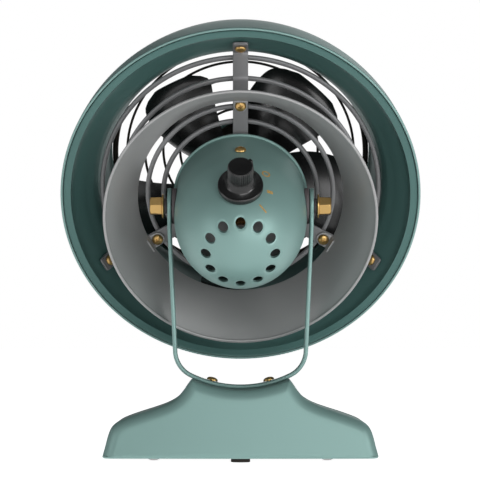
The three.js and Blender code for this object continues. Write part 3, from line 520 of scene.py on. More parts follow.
class FanSizes(bpy.types.PropertyGroup):
    """Sizes of the fan's details and of the camera's place."""

    base_edge: bpy.props.FloatProperty(
        name="Base edge radius",
        description="Rounding between the base's rear or front face and its sides",
        default=0.0065, min=0.002, max=0.009, unit="LENGTH",
    )
    base_bulge: bpy.props.FloatProperty(
        name="Base face bulge",
        description="How far the base's rear face stands out in its middle",
        default=0.003, min=0.0, max=0.006, unit="LENGTH",
    )
    strip_edge: bpy.props.FloatProperty(
        name="Yoke edge radius",
        description="Rounding of the yoke strip's edges",
        default=0.0009, min=0.0002, max=0.00115, unit="LENGTH",
    )
    vent_lip: bpy.props.FloatProperty(
        name="Vent lip",
        description="How far the rim of each vent is drawn inwards",
        default=0.0004, min=0.0, max=0.001, unit="LENGTH",
    )
    vent_radius: bpy.props.FloatProperty(
        name="Vent radius",
        description="Radius of the round vents in the motor housing",
        default=0.003, min=0.002, max=0.0036, unit="LENGTH",
    )
    recess_depth: bpy.props.FloatProperty(
        name="Screw recess depth",
        description="Depth of the cross in a screw's head",
        default=0.0012, min=0.0005, max=0.0016, unit="LENGTH",
    )
    mark_width: bpy.props.FloatProperty(
        name="Mark width",
        description="Width of the printed speed marks' strokes",
        default=0.0008, min=0.0002, max=0.001, unit="LENGTH",
    )
    camera_back: bpy.props.FloatProperty(
        name="Camera distance",
        description="Distance from the camera to the tilt axis",
        default=2.0, min=0.5, max=5.0, unit="LENGTH",
    )
    camera_height: bpy.props.FloatProperty(
        name="Camera height",
        description="Height of the camera above the floor",
        default=0.076, min=0.0, max=2.0, unit="LENGTH",
    )
    aim_height: bpy.props.FloatProperty(
        name="Aim height",
        description="Height of the point that the camera looks at",
        default=0.1325, min=0.0, max=0.3, unit="LENGTH",
    )


# ---- screws -----------------------------------------------------------------------------

SCREW_HEAD = 3.4
SCREW_HEIGHT = 2.2
SCREW_LENGTH = 6.0
SCREW_SHANK = 1.6


def screw_mesh(slot, head_radius, head_height, length):
    """A domed screw with a cross recess, about Y with its seat at the origin."""
    name = f"screw_{slot}_{head_height:g}_{length:g}"
    if name in bpy.data.meshes:
        return bpy.data.meshes[name]
    profile = [(0, -length), (SCREW_SHANK * 0.6, -length), (SCREW_SHANK * 0.95, -length + 0.7)]
    pitch = 0.7
    low = -length + 0.9
    while low + pitch < -0.3:
        profile += [(SCREW_SHANK * 0.78, low), (SCREW_SHANK, low + pitch / 2)]
        low += pitch
    profile += [(SCREW_SHANK * 0.9, -0.15), (SCREW_SHANK * 0.9, 0.0), (head_radius - 0.25, 0.0)]
    profile += arc((head_radius - 0.25, 0.25), 0.25, -90, 0, 3)[1:]
    profile += [
        (head_radius * math.cos(a), 0.25 + (head_height - 0.25) * math.sin(a) ** 0.85)
        for a in (math.pi / 2 * i / 12 for i in range(1, 13))
    ]
    profile[-1] = (0, head_height)
    body = lathe(profile, 48)
    depth = bpy.context.scene.fan_sizes.recess_depth / MM
    arm, blade = 0.56 * head_radius, 0.32
    for turn in (0, 90):
        rows = []
        for y, share in ((head_height - depth, 0.45), (head_height + 1, 1.0)):
            a, b = arm * share, blade * (0.8 + 0.2 * share) + 0.002 * turn / 90
            rows.append([(-a, y, -b), (a, y, -b), (a, y, b), (-a, y, b)])
        points, faces = grid(rows, caps=(True, True))
        tool = Shape().join(Shape().add(points, faces), Matrix.Rotation(math.radians(turn), 4, "Y"))
        mesh = cut(body, tool, Matrix.Identity(4))
        places = [v.co / MM for v in mesh.vertices]
        body = Shape().add(places, [list(p.vertices) for p in mesh.polygons])
    mesh.name = name
    mesh.materials.clear()
    return mesh


def place_screw(name, seat, axis, body, slot="brass", place=HEAD, turn=0.0, shape=None):
    """Puts one screw with its seat at a point of the given frame, in millimetres."""
    head_radius, head_height, length = shape or (SCREW_HEAD, SCREW_HEIGHT, SCREW_LENGTH)
    mesh = screw_mesh(slot, head_radius, head_height, length)
    aim = Vector((0, 1, 0)).rotation_difference(Vector(axis)).to_matrix().to_4x4()
    world = place @ Matrix.Translation(Vector(seat) * MM) @ aim @ turned_about(turn)
    return settle(name + "_detail", mesh, body, slot, (name,), 35, world)


# ---- operators --------------------------------------------------------------------------


class PieceOperator:
    """What the operators share: they build, and they never leave without an error."""

    bl_options = {"REGISTER", "UNDO"}

    def execute(self, context):
        self.build(context.scene.fan_sizes)
        return {"FINISHED"}


STAGE_RADIUS = 14.0
CAMERA_LENS = 248.4
RENDER_SIZE = 480


def area_light(name, place, target, width, height, power):
    """A white rectangular lamp that faces its target."""
    lamp = bpy.data.lights.new(name, "AREA")
    lamp.shape = "RECTANGLE"
    lamp.size, lamp.size_y = width, height
    lamp.energy = power
    holder = bpy.data.objects.new(name, lamp)
    holder.location = place
    holder.rotation_euler = (Vector(target) - Vector(place)).to_track_quat("-Z", "Y").to_euler()
    bpy.context.scene.collection.objects.link(holder)


class FAN_OT_stage(PieceOperator, bpy.types.Operator):
    """Lays the pale floor and sets the soft lights and the camera"""

    bl_idname = "desk_fan.stage"
    bl_label = "Stage, lights and camera"

    def build(self, sizes):
        rings = [0.25 * (STAGE_RADIUS / 0.25) ** (i / 14) for i in range(15)]
        rows = [[(r * math.cos(TAU * i / 64) / MM, r * math.sin(TAU * i / 64) / MM, 0.0) for i in range(64)]
                for r in rings]
        points, faces = grid(rows, caps=(True, False))
        mesh = bpy.data.meshes.new("floor")
        mesh.from_pydata([Vector(p) * MM for p in points], [], faces)
        floor = bpy.data.objects.new("floor", mesh)
        bpy.context.scene.collection.objects.link(floor)
        material = bpy.data.materials.new("floor_paper")
        material.use_nodes = True
        bench = Bench(material.node_tree)
        shader = material.node_tree.nodes["Principled BSDF"]
        place = bench.node("ShaderNodeTexCoord").outputs["Object"]
        tone = bench.spread(bench.noise(place, 3.0), 0.3, 0.7)
        colour = bench.blend(tone, (0.9, 0.9, 0.9, 1), (0.94, 0.94, 0.94, 1))
        material.node_tree.links.new(colour, shader.inputs["Base Color"])
        shader.inputs["Roughness"].default_value = 0.85
        shader.inputs["Specular IOR Level"].default_value = 0.2
        shader.inputs["Emission Color"].default_value = (1, 1, 1, 1)
        shader.inputs["Emission Strength"].default_value = 0.95
        mesh.materials.append(material)

        world = bpy.data.worlds.new("studio")
        bpy.context.scene.world = world
        world.use_nodes = True
        bench = Bench(world.node_tree)
        back = world.node_tree.nodes["Background"]
        way = bench.node("ShaderNodeTexCoord").outputs["Generated"]
        parts = bench.node("ShaderNodeSeparateXYZ", {0: way})
        up = bench.spread(parts.outputs["Z"], 0.0, 0.5)
        room = bench.blend(up, (0.3, 0.305, 0.31, 1), (0.06, 0.063, 0.066, 1))
        seen = bench.node("ShaderNodeLightPath").outputs["Is Camera Ray"]
        tint = bench.blend(seen, room, (1.0, 1.0, 1.0, 1))
        world.node_tree.links.new(tint, back.inputs["Color"])
        back.inputs["Strength"].default_value = 1.0

        centre = (0.0, PIVOT.y, 0.14)
        area_light("light_left", (1.8, 1.0, 0.25), centre, 0.9, 1.0, 8)
        area_light("light_right", (-1.7, 1.3, 0.22), centre, 0.9, 1.0, 22)
        area_light("light_front", (-0.4, -1.8, 1.1), centre, 1.6, 1.0, 5)
        panel = Vector((-0.76, PIVOT.y + 2.6, 0.5))
        area_light("light_panel", panel, panel - Vector((0, 1, 0)), 1.72, 1.2, 26)

        camera = bpy.data.cameras.new("camera")
        camera.lens = CAMERA_LENS
        camera.sensor_width = 36.0
        holder = bpy.data.objects.new("camera", camera)
        holder.location = (0.0, PIVOT.y + sizes.camera_back, sizes.camera_height)
        look = Vector((0.0, PIVOT.y, sizes.aim_height)) - holder.location
        holder.rotation_euler = look.to_track_quat("-Z", "Y").to_euler()
        camera.shift_x = -0.5 / RENDER_SIZE
        bpy.context.scene.collection.objects.link(holder)
        bpy.context.scene.camera = holder
        bpy.context.scene.view_settings.view_transform = "Standard"


# Half widths of the base seen from behind, with their heights, in millimetres.
BASE_SIDE = [
    (81.5, 3.4), (80.7, 6.5), (79.9, 9.4), (78.7, 14.2), (77.4, 18.2), (75.6, 21.4),
    (72.5, 24.0), (67.3, 26.3), (60.5, 28.7), (53.0, 31.1), (46.1, 33.5), (41.0, 35.9),
    (37.5, 38.3), (35.1, 40.8), (33.2, 43.2), (31.6, 45.6), (29.9, 48.0),
]
SADDLE_RADIUS = 70.3
NECK_HALF_WIDTH = 29.0
BASE_BOTTOM = 3.4
BASE_DRAFT = 0.125
BASE_FRONT_DRAFT = 0.3


def base_outline(inset=0.0):
    """The base's outline moved inwards, from one lower corner over the saddle to the other."""
    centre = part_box("yoke")[0].z / MM + SADDLE_RADIUS
    side = offset(spline(BASE_SIDE, 60), inset)
    top = math.degrees(math.asin(NECK_HALF_WIDTH / SADDLE_RADIUS))
    saddle = offset(arc((0, centre), SADDLE_RADIUS, -90 + top, -90, 40), inset)
    # Where the two lines cross they are trimmed to a mitre, which is the saddle's horn.
    radius = SADDLE_RADIUS + inset
    cross = next((i for i, (x, z) in enumerate(side) if math.hypot(x, z - centre) < radius and x < 45), None)
    if cross is None:
        horn = side[-1]
    else:
        (x0, z0), (x1, z1) = side[cross - 1], side[cross]
        d0 = math.hypot(x0, z0 - centre) - radius
        d1 = math.hypot(x1, z1 - centre) - radius
        horn = (lerp(x0, x1, d0 / (d0 - d1)), lerp(z0, z1, d0 / (d0 - d1)))
    side = [p if cross is None or i < cross else horn for i, p in enumerate(side)]
    saddle = [(x, z) if x < horn[0] else horn for x, z in saddle]
    half = [(max(x, 0.0), max(z, BASE_BOTTOM)) for x, z in side + saddle]
    return half + [(-x, z) for x, z in half[-2::-1]]


class FAN_OT_base(PieceOperator, bpy.types.Operator):
    """Builds the base shell, its plate, feet and screws"""

    bl_idname = "desk_fan.base"
    bl_label = "Base"

    def build(self, sizes):
        low, high = (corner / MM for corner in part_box("base_shell"))
        outline = base_outline()
        edge = sizes.base_edge / MM
        bulge = sizes.base_bulge / MM
        floor = BASE_BOTTOM

        def rear(x, z):
            return high.y - bulge * (x / high.x) ** 2 - BASE_DRAFT * (z - floor)

        def front(x, z):
            return low.y + 1.5 * (x / high.x) ** 2 + BASE_FRONT_DRAFT * (z - floor) + 0.004 * (z - floor) ** 2

        rows = []
        face_steps, bend_steps, body_steps = 14, 8, 10
        inner = base_outline(edge)
        for j in range(face_steps):
            rows.append([(x, rear(x, lerp(floor, z, j / face_steps)), lerp(floor, z, j / face_steps))
                         for x, z in inner])
        for j in range(bend_steps + 1):
            angle = math.pi / 2 * j / bend_steps
            line = base_outline(edge * (1 - math.sin(angle)))
            rows.append([(x, rear(x, z) - edge * (1 - math.cos(angle)), z) for x, z in line])
        for j in range(1, body_steps):
            share = j / body_steps
            rows.append([(x, lerp(rear(x, z) - edge, front(x, z) + edge, share), z) for x, z in outline])
        for j in range(bend_steps, -1, -1):
            angle = math.pi / 2 * j / bend_steps
            line = base_outline(edge * (1 - math.sin(angle)))
            rows.append([(x, front(x, z) + edge * (1 - math.cos(angle)), z) for x, z in line])
        for j in range(face_steps - 1, -1, -1):
            rows.append([(x, front(x, lerp(floor, z, j / face_steps)), lerp(floor, z, j / face_steps))
                         for x, z in inner])
        points, faces = grid(rows, wrap_columns=False)
        shape = Shape().add(points, faces)

        # The lower edge turns under to a thin wall, and the shell is hollow behind it.
        width = len(outline)
        tall = len(rows)
        border = list(range(width))
        border += [j * width + width - 1 for j in range(1, tall)]
        border += [(tall - 1) * width + i for i in range(width - 2, -1, -1)]
        border += [j * width for j in range(tall - 2, 0, -1)]
        kept = [border[0]]
        for i in border[1:]:
            if (shape.points[i] - shape.points[kept[-1]]).length > 0.02:
                kept.append(i)
        if (shape.points[kept[-1]] - shape.points[kept[0]]).length < 0.02:
            kept.pop()
        plan = [(shape.points[i].x, shape.points[i].y) for i in kept]
        area = sum(a[0] * b[1] - b[0] * a[1] for a, b in zip(plan, plan[1:] + plan[:1]))
        inward = 1 if area > 0 else -1
        previous = kept
        for gap, z in ((0.3, 2.85), (0.65, 2.55), (1.1, 2.4), (2.2, 2.4), (2.5, 2.7), (2.5, 9.0)):
            ring = offset(plan, inward * gap, closed=True)
            start = len(shape.points)
            shape.points += [Vector((x, y, z)) for x, y in ring]
            shape.along += [0.0] * len(ring)
            current = list(range(start, start + len(ring)))
            for i in range(len(ring)):
                n = (i + 1) % len(ring)
                shape.faces.append([previous[i], previous[n], current[n], current[i]])
            previous = current
        shape.faces.append(previous)
        make("base_shell_detail", shape, "stand", "green_paint", Matrix.Identity(4))

        for i in (1, 2, 3):
            node = f"plate_screw_{i}"
            box_low, box_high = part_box(node)
            middle = (box_low + box_high) / 2 / MM
            seat = (middle.x, middle.y, box_low.z / MM + 1.6)
            flat_head = (SCREW_HEAD, 1.6, SCREW_LENGTH)
            place_screw(node, seat, (0, 0, -1), "stand", "steel", Matrix.Identity(4), 20 * i, flat_head)
        for side in ("rear", "left", "right"):
            node = f"foot_{side}"
            box_low, box_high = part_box(node)
            middle = (box_low + box_high) / 2 / MM
            radius = (box_high.x - box_low.x) / 2 / MM
            top = box_high.z / MM
            profile = [(0, 0.25), (radius - 2.4, 0.25), (radius - 2.2, 0), (radius - 0.7, 0)]
            profile += arc((radius - 0.7, 0.7), 0.7, -90, 0, 4)[1:]
            profile += [(radius - 0.15, top - 0.5), (radius - 0.4, top), (0, top)]
            rise = Matrix.Rotation(math.pi / 2, 4, "X")
            spot = Matrix.Translation(Vector((middle.x, middle.y, 0)) * MM) @ rise
            make(node + "_detail", lathe(profile, 56), "stand", "rubber", spot, (node,))
        repaint("base_plate", "black_plastic")


def repaint(node, slot):
    """Gives a CAD node its detailed finish and the marks that it reads."""
    piece = frame["nodes"][node]
    mark_edges(piece.data)
    run = piece.data.attributes.new("along", "FLOAT", "POINT")
    back = HEAD.inverted()
    run.data.foreach_set("value", [(back @ v.co).y for v in piece.data.vertices])
    piece.data.materials.clear()
    piece.data.materials.append(finish(slot))


YOKE_THICK = 2.4
YOKE_SCREW_SPAN = 17.8
YOKE_WIDTH = 18.0
YOKE_RADIUS = 70.0
YOKE_CORNER = 18.0
YOKE_LEAN = 2.3
EYE_RADIUS = 10.85
ARM_OUTER = 44.1


def yoke_line():
    """The middle of the strip's thickness from the bottom to one arm's top."""
    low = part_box("yoke")[0].z / MM
    pivot = PIVOT.z / MM
    lean = math.radians(YOKE_LEAN)
    inset = YOKE_THICK / 2
    centre = low + YOKE_RADIUS
    spread = YOKE_RADIUS - YOKE_CORNER
    corner_x = ARM_OUTER - YOKE_CORNER - (pivot - low - 24) * math.sin(lean)
    swing = math.asin(corner_x / spread)
    corner_z = centre - spread * math.cos(swing)
    start = math.degrees(swing) - 90
    line = arc((0, centre), YOKE_RADIUS - inset, -90, start, 26)
    line += arc((corner_x, corner_z), YOKE_CORNER - inset, start, -YOKE_LEAN, 22)[1:]
    foot = line[-1]
    knee = (ARM_OUTER - inset, pivot - EYE_RADIUS - 2)
    line += [(lerp(foot[0], knee[0], i / 12), lerp(foot[1], knee[1], i / 12)) for i in range(1, 12)]
    line += [knee]
    top = pivot + EYE_RADIUS
    for i in range(1, 31):
        share = math.sin(math.pi / 2 * i / 30)
        line.append((knee[0], lerp(knee[1], top, share)))
    return line


class FAN_OT_yoke(PieceOperator, bpy.types.Operator):
    """Bends the yoke's strip, with its round eyes, and adds its two screws"""

    bl_idname = "desk_fan.yoke"
    bl_label = "Yoke"

    def build(self, sizes):
        half = yoke_line()
        line = [(-x, z) for x, z in half[:0:-1]] + half
        pivot = PIVOT.z / MM
        join = pivot - math.sqrt(EYE_RADIUS ** 2 - (YOKE_WIDTH / 2) ** 2)
        radius = sizes.strip_edge / MM
        path, sections = [], []
        count = len(line)
        for i, (x, z) in enumerate(line):
            before, after = line[max(i - 1, 0)], line[min(i + 1, count - 1)]
            along = Vector((after[0] - before[0], 0, after[1] - before[1])).normalized()
            across = Vector((0, 1, 0))
            width = YOKE_WIDTH
            if z > join:
                width = 2 * math.sqrt(max(EYE_RADIUS ** 2 - (z - pivot) ** 2, 0.0))
            elif z > join - 6:
                width = lerp(YOKE_WIDTH, YOKE_WIDTH - 0.35, math.sin(math.pi * (join - z) / 6))
            width = max(width, 0.6)
            thick = YOKE_THICK if width > 3 else lerp(0.8, YOKE_THICK, width / 3)
            bend = min(radius, 0.48 * min(width, thick))
            path.append((Vector((x, PIVOT.y / MM, z)), across, along.cross(across)))
            sections.append(rounded_box(width, thick, bend, 4))
        make("yoke_detail", sweep(path, sections), "stand", "green_paint", Matrix.Identity(4))
        for side in ("left", "right"):
            centre = Vector((0, PIVOT.y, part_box("yoke")[0].z + YOKE_RADIUS * MM))
            hand = 1 if side == "left" else -1
            lean = math.asin(YOKE_SCREW_SPAN / YOKE_RADIUS)
            axis = Vector((-hand * math.sin(lean), 0, math.cos(lean)))
            seat = centre / MM - axis * (YOKE_RADIUS - YOKE_THICK - 0.3)
            place_screw(f"yoke_screw_{side}", seat, axis, "stand", "brass", Matrix.Identity(4), 25 * hand)


# The bell's inner face and the duct's skin, in the head's frame.
DUCT_RADIUS = 109.5
RIM_BACK = -13.5
RIM_BEAD = 2.2
NOSE_FRONT = -90.5
NOSE_DEPTH = 7.0
DUCT_DEPTH = 77.0
DUCT_TAPER = 23.5
DUCT_WALL = 1.8
THROAT_RADIUS = 81.5
THROAT_BACK = -52.5
BELL_WALL = 1.5
BELL_FLARE = DUCT_RADIUS - 2 * RIM_BEAD - 0.3 - BELL_WALL - THROAT_RADIUS
BELL_REACH = RIM_BACK - THROAT_BACK
BELL_KNOTS = [
    (THROAT_RADIUS, NOSE_FRONT + 6.5),
    (THROAT_RADIUS + 0.04 * BELL_FLARE, THROAT_BACK),
    (THROAT_RADIUS + 0.24 * BELL_FLARE, THROAT_BACK + 0.44 * BELL_REACH),
    (THROAT_RADIUS + 0.6 * BELL_FLARE, THROAT_BACK + 0.68 * BELL_REACH),
    (THROAT_RADIUS + 0.9 * BELL_FLARE, THROAT_BACK + 0.86 * BELL_REACH),
    (THROAT_RADIUS + BELL_FLARE, RIM_BACK - 1),
]


def bell_at(radius):
    """Where the bell's face is at one radius, as the CAD's coarser bell has it."""
    face = spline(BELL_KNOTS, 6)
    for (r0, y0), (r1, y1) in zip(face, face[1:]):
        if r1 > radius:
            return y0 + (radius - r0) / (r1 - r0) * (y1 - y0), math.atan2(y1 - y0, r1 - r0)
    raise ValueError("radius is outside the bell")


class FAN_OT_duct(PieceOperator, bpy.types.Operator):
    """Turns the duct's outer shell with its rolled rim, and the bell inside it"""

    bl_idname = "desk_fan.duct"
    bl_label = "Duct"

    def build(self, sizes):
        nose_start = NOSE_FRONT + NOSE_DEPTH
        nose_radius = DUCT_RADIUS - DUCT_TAPER
        lip = THROAT_RADIUS - 1
        nose_inner = lip + 2
        edge = 0.9
        centre = (DUCT_RADIUS - edge, RIM_BACK - edge)
        # How far along the shell, and what share of the taper is done there.
        stations = [(0.04, 0.012), (0.13, 0.052), (0.27, 0.134), (0.44, 0.296), (0.69, 0.6), (0.83, 0.84)]
        skin = [(DUCT_RADIUS - share * DUCT_TAPER, RIM_BACK - run * DUCT_DEPTH) for run, share in stations]
        skin = spline(skin + [(nose_radius, nose_start)], 48)
        nose = arc_ellipse((nose_inner, nose_start), nose_radius - nose_inner, NOSE_DEPTH, 0, -90, 16)[1:]
        turn_in = [(nose_inner, NOSE_FRONT), (lip + 0.7, NOSE_FRONT + 0.5), (lip, NOSE_FRONT + 2)]
        nose += spline(turn_in, 8)[1:]
        outer = arc(centre, edge, 120, 0, 12) + skin + nose
        inner = offset(skin + nose, -DUCT_WALL)
        inner = [p for p in inner if p[0] > lip + DUCT_WALL or p[1] > nose_start][::-1]
        inner = [(lip + 0.5 * DUCT_WALL, NOSE_FRONT + 2.8)] + inner
        shell = lathe(outer + inner, 256)
        make("duct_shell_detail", shell, "head", "green_paint")

        face = spline(BELL_KNOTS, 60)
        # Shallow steps from spinning show where the bell turns into the throat.
        stepped = []
        for r, y in face:
            share = ease((93 - r) / 9)
            stepped.append((r + 0.16 * share * math.sin(y * 1.7), y))
        # Outside, the bell runs on level with the shell's edge.
        end = DUCT_RADIUS - 2 * edge - 0.1
        stepped = [p for p in stepped if p[0] < end - 2.2]
        stepped += spline([stepped[-1], (end - 1.0, RIM_BACK - 0.75), (end, RIM_BACK - 0.45)], 8)[1:]
        back = [p for p in offset(face, -BELL_WALL) if p[0] < end - 2.2]
        rim = [(end, RIM_BACK - 0.9), (end - 0.6, RIM_BACK - 1.7)]
        # The bell wears the shell's green drawn darker, as painted shade.
        make("duct_bell_detail", lathe(stepped + rim + back[::-1], 256), "head", "dark_green_paint")


def arc_ellipse(centre, radius, depth, start, end, steps):
    """Points of an ellipse's arc, with the angles in degrees."""
    out = []
    for i in range(steps + 1):
        angle = math.radians(lerp(start, end, i / steps))
        out.append((centre[0] + radius * math.cos(angle), centre[1] + depth * math.sin(angle)))
    return out


STRUT_WIDTH = 9.2
STRUT_THICK = 1.6
STRUT_BACK = -18.2
STRUT_BEND = 75.5
STRUT_TAB = 12.0
STRUT_FOOT = 28.0
STRUT_SCREW = 94.5
TAB_GAP = 0.9
GAP = 0.3


def strut_seat():
    """The seat of a strut's screw on its tab, the tab's normal, and its direction."""
    y, slope = bell_at(STRUT_SCREW)
    axis = Vector((0, math.cos(slope), -math.sin(slope)))
    seat = Vector((0, y, STRUT_SCREW)) + axis * (TAB_GAP + STRUT_THICK)
    return seat, axis, Vector((0, math.sin(slope), math.cos(slope)))


class FAN_OT_guard(PieceOperator, bpy.types.Operator):
    """Builds the rear guard's three struts and four rings, with their screws"""

    bl_idname = "desk_fan.guard"
    bl_label = "Rear guard"

    def build(self, sizes):
        seat, axis, along = strut_seat()
        low = seat - along * STRUT_TAB / 2
        high = seat + along * STRUT_TAB / 2
        knots = [(STRUT_FOOT, STRUT_BACK), (STRUT_BEND, STRUT_BACK), (low.z, low.y), (high.z, high.y)]
        line = soften(knots, 1.6)
        middle = offset(line, -STRUT_THICK / 2)
        path, sections = [], []
        length = sum(math.dist(a, b) for a, b in zip(middle, middle[1:]))
        run = 0.0
        for i, (z, y) in enumerate(middle):
            if i:
                run += math.dist(middle[i - 1], middle[i])
            before, after = middle[max(i - 1, 0)], middle[min(i + 1, len(middle) - 1)]
            way = Vector((0, after[1] - before[1], after[0] - before[0])).normalized()
            end = min(run, length - run)
            corner = 1.8
            narrow = corner - math.sqrt(max(corner ** 2 - (corner - end) ** 2, 0)) if end < corner else 0
            width = STRUT_WIDTH - 2 * narrow
            thick = STRUT_THICK if end > 0.3 else 0.9
            path.append((Vector((0, y, z)), Vector((1, 0, 0)), way.cross(Vector((1, 0, 0)))))
            sections.append(rounded_box(width, thick, 0.4, 3))
        strut = sweep(path, sections)
        motor = Vector((0, STRUT_BACK + GAP, STRUT_FOOT + 3.6))
        for side, angle in SIDES.items():
            turn = turned_about(angle)
            body = Shape().join(strut, turn)
            make(f"guard_strut_{side}_detail", body, "head", "guard_grey")
            spin = 30 + angle * 0.4
            place_screw(f"strut_screw_{side}", turn @ (seat + axis * GAP), turn @ axis, "head", turn=spin)
            place_screw(f"motor_screw_{side}", turn @ motor, (0, 1, 0), "head", "steel", turn=spin + 20)

        for i in (1, 2, 3, 4):
            node = f"guard_ring_{i}"
            high = local_box(node)[1]
            wire = 1.5
            radius = high.x - wire
            y = high.y - wire
            section = [(radius + wire * a, y + 0.9 * wire * b) for a, b in squashed_circle(16)]
            make(node + "_detail", lathe(section, 160), "head", "guard_grey")


def squashed_circle(steps):
    """A unit circle with slightly flattened faces."""
    out = []
    for i in range(steps):
        angle = TAU * i / steps
        a, b = math.cos(angle), math.sin(angle)
        out.append((math.copysign(abs(a) ** 0.8, a), math.copysign(abs(b) ** 0.8, b)))
    return out


def soften(knots, radius, steps=6, spacing=1.2):
    """A line through knots with each corner rounded, in short steps."""
    out = [knots[0]]
    for before, here, after in zip(knots, knots[1:], knots[2:]):
        a = Vector(before) - Vector(here)
        b = Vector(after) - Vector(here)
        reach = min(radius, a.length / 2, b.length / 2)
        start = Vector(here) + a.normalized() * reach
        end = Vector(here) + b.normalized() * reach
        out.append(tuple(start))
        for i in range(1, steps):
            t = i / steps
            out.append(tuple(start.lerp(Vector(here), t).lerp(Vector(here).lerp(end, t), t)))
        out.append(tuple(end))
    out.append(knots[-1])
    fine = [out[0]]
    for a, b in zip(out, out[1:]):
        count = max(1, math.ceil(math.dist(a, b) / spacing))
        fine += [(lerp(a[0], b[0], k / count), lerp(a[1], b[1], k / count)) for k in range(1, count + 1)]
    ends = []
    for k in range(1, 6):
        share = (k / 6) ** 2
        ends.append((lerp(fine[0][0], fine[1][0], share), lerp(fine[0][1], fine[1][1], share)))
    tail = []
    for k in range(5, 0, -1):
        share = (k / 6) ** 2
        tail.append((lerp(fine[-1][0], fine[-2][0], share), lerp(fine[-1][1], fine[-2][1], share)))
    return [fine[0]] + ends + fine[1:-1] + tail + [fine[-1]]


CONE_NECK = 62.4
CONE_RIM = 82.4
CONE_BACK = 19.6
CONE_LENGTH = 34.0
CONE_WALL = 1.2
CONE_BEAD = 1.0
CONE_TAB = 8.6
CONE_SCREW = 58.6


class FAN_OT_cone(PieceOperator, bpy.types.Operator):
    """Turns the inner cone with its rolled edge and tabs, and adds its screws"""

    bl_idname = "desk_fan.cone"
    bl_label = "Inner cone"

    def build(self, sizes):
        rim = CONE_RIM - CONE_BEAD
        slope = rim - CONE_NECK
        front = CONE_BACK - CONE_LENGTH
        inside = spline([
            (CONE_NECK, front),
            (CONE_NECK + 0.3 * slope, front + 0.36 * CONE_LENGTH),
            (CONE_NECK + 0.64 * slope, front + 0.7 * CONE_LENGTH),
            (rim, CONE_BACK - 1.2),
        ], 44)
        outside = offset(inside, -CONE_WALL)
        bead = arc((rim + 0.15, CONE_BACK - CONE_BEAD), CONE_BEAD, 200, -60, 14)
        lip = arc(((inside[0][0] + outside[0][0]) / 2, front), CONE_WALL / 2, -20, -160, 5)
        cone = lathe(inside[:-1] + bead + outside[-2::-1] + lip, 256)
        tab_back = STRUT_BACK + GAP + CONE_WALL
        reach = CONE_TAB / 2
        knots = [
            (CONE_SCREW - reach, tab_back - CONE_WALL / 2),
            (CONE_NECK - 0.2, tab_back - CONE_WALL / 2),
            (CONE_NECK + 0.7, tab_back + 0.8),
            (CONE_NECK + 1.0, front + 3.2),
        ]
        path, sections = [], []
        line = soften(knots, 0.8)
        run = 0.0
        for i, (z, y) in enumerate(line):
            if i:
                run += math.dist(line[i - 1], line[i])
            before, after = line[max(i - 1, 0)], line[min(i + 1, len(line) - 1)]
            way = Vector((0, after[1] - before[1], after[0] - before[0])).normalized()
            width = CONE_TAB
            if run < reach:
                width = max(2 * math.sqrt(max(reach ** 2 - (reach - run) ** 2, 0)), 1.0)
            path.append((Vector((0, y, z)), Vector((1, 0, 0)), way.cross(Vector((1, 0, 0)))))
            sections.append(rounded_box(width, CONE_WALL * 0.96, 0.3, 3))
        tab = sweep(path, sections)
        screw = Vector((0, tab_back + GAP, CONE_SCREW))
        for side, angle in SIDES.items():
            turn = turned_about(angle)
            cone.join(tab, turn)
            place_screw(f"cone_screw_{side}", turn @ screw, (0, 1, 0), "head", turn=15 + angle,
                        shape=(SCREW_HEAD, SCREW_HEIGHT, 3.2))
        make("inner_cone_detail", cone, "head", "cone_grey")


GRILLE_RINGS = (27.4, 38.0, 48.5, 60.0, 71.0)


class FAN_OT_grille(PieceOperator, bpy.types.Operator):
    """Builds the front grille's rings and spokes, and its plain badge"""

    bl_idname = "desk_fan.grille"
    bl_label = "Front grille"

    def build(self, sizes):
        high = local_box("front_grille")[1]
        rim_wire, wire = 1.8, 0.8
        dome = 7.0
        ring = high.x - rim_wire
        ring_y = high.y - rim_wire
        hub_y = ring_y - dome
        badge_low, badge_high = local_box("grille_badge")
        badge = badge_high.x
        hub = badge - 1.5
        grille = lathe(arc((ring, ring_y), rim_wire, 0, 340, 17), 180)
        disc = [(0, hub_y - 1), (hub - 0.4, hub_y - 1), (hub, hub_y - 0.6), (hub, hub_y + 0.6),
                (hub - 0.4, hub_y + 1), (hub - 5, hub_y + 1), (hub - 5.6, hub_y + 0.5), (0, hub_y + 0.5)]
        grille.join(lathe(disc, 90))
        for radius in GRILLE_RINGS:
            y = hub_y + dome * (radius / ring) ** 2
            grille.join(lathe(arc((radius, y), wire, 0, 330, 11), 144))
        route = []
        for k in range(25):
            radius = lerp(hub - 1, ring, k / 24)
            route.append((0, hub_y + dome * (radius / ring) ** 2, radius))
        spoke = tube(route, wire, 12)
        for angle in SIDES.values():
            grille.join(spoke, turned_about(angle))
        make("front_grille_detail", grille, "head", "wire_black")

        top = badge_high.y
        deep = badge_high.y - badge_low.y
        profile = [(0, top), (badge - 0.3, top), (badge, top - 0.3), (badge, top - 1.0)]
        profile += spline([(badge, top - 1.0), (badge - 0.5, top - 0.68 * deep),
                           (badge - 1.6, top - 0.86 * deep), (badge - 3.0, top - 0.9 * deep)], 10)[1:]
        profile += [(badge - 3.3, top - 0.72 * deep), (badge - 3.9, top - 0.72 * deep),
                    (badge - 4.3, top - 0.92 * deep)]
        profile += [((badge - 4.3) * math.cos(a), top - deep * (0.92 + 0.08 * math.sin(a)))
                    for a in (math.pi / 2 * k / 10 for k in range(1, 11))]
        profile[-1] = (0, top - deep)
        make("grille_badge_detail", lathe(profile, 120), "head", "green_paint")


HOUSING_RADIUS = 39.7
HOUSING_FRONT = -16.0
DOME_START = 18.0
DOME_LENGTH = 54.0
HOUSING_WALL = 2.0
VENT_COUNT = 12
VENT_CIRCLE = 20.4
VENT_DROP = 2.9
HOUSING_SCREW = 9.0
OFF_MARK = 44.0
MARK_CIRCLE = 20.9
MARK_RING = 2.05


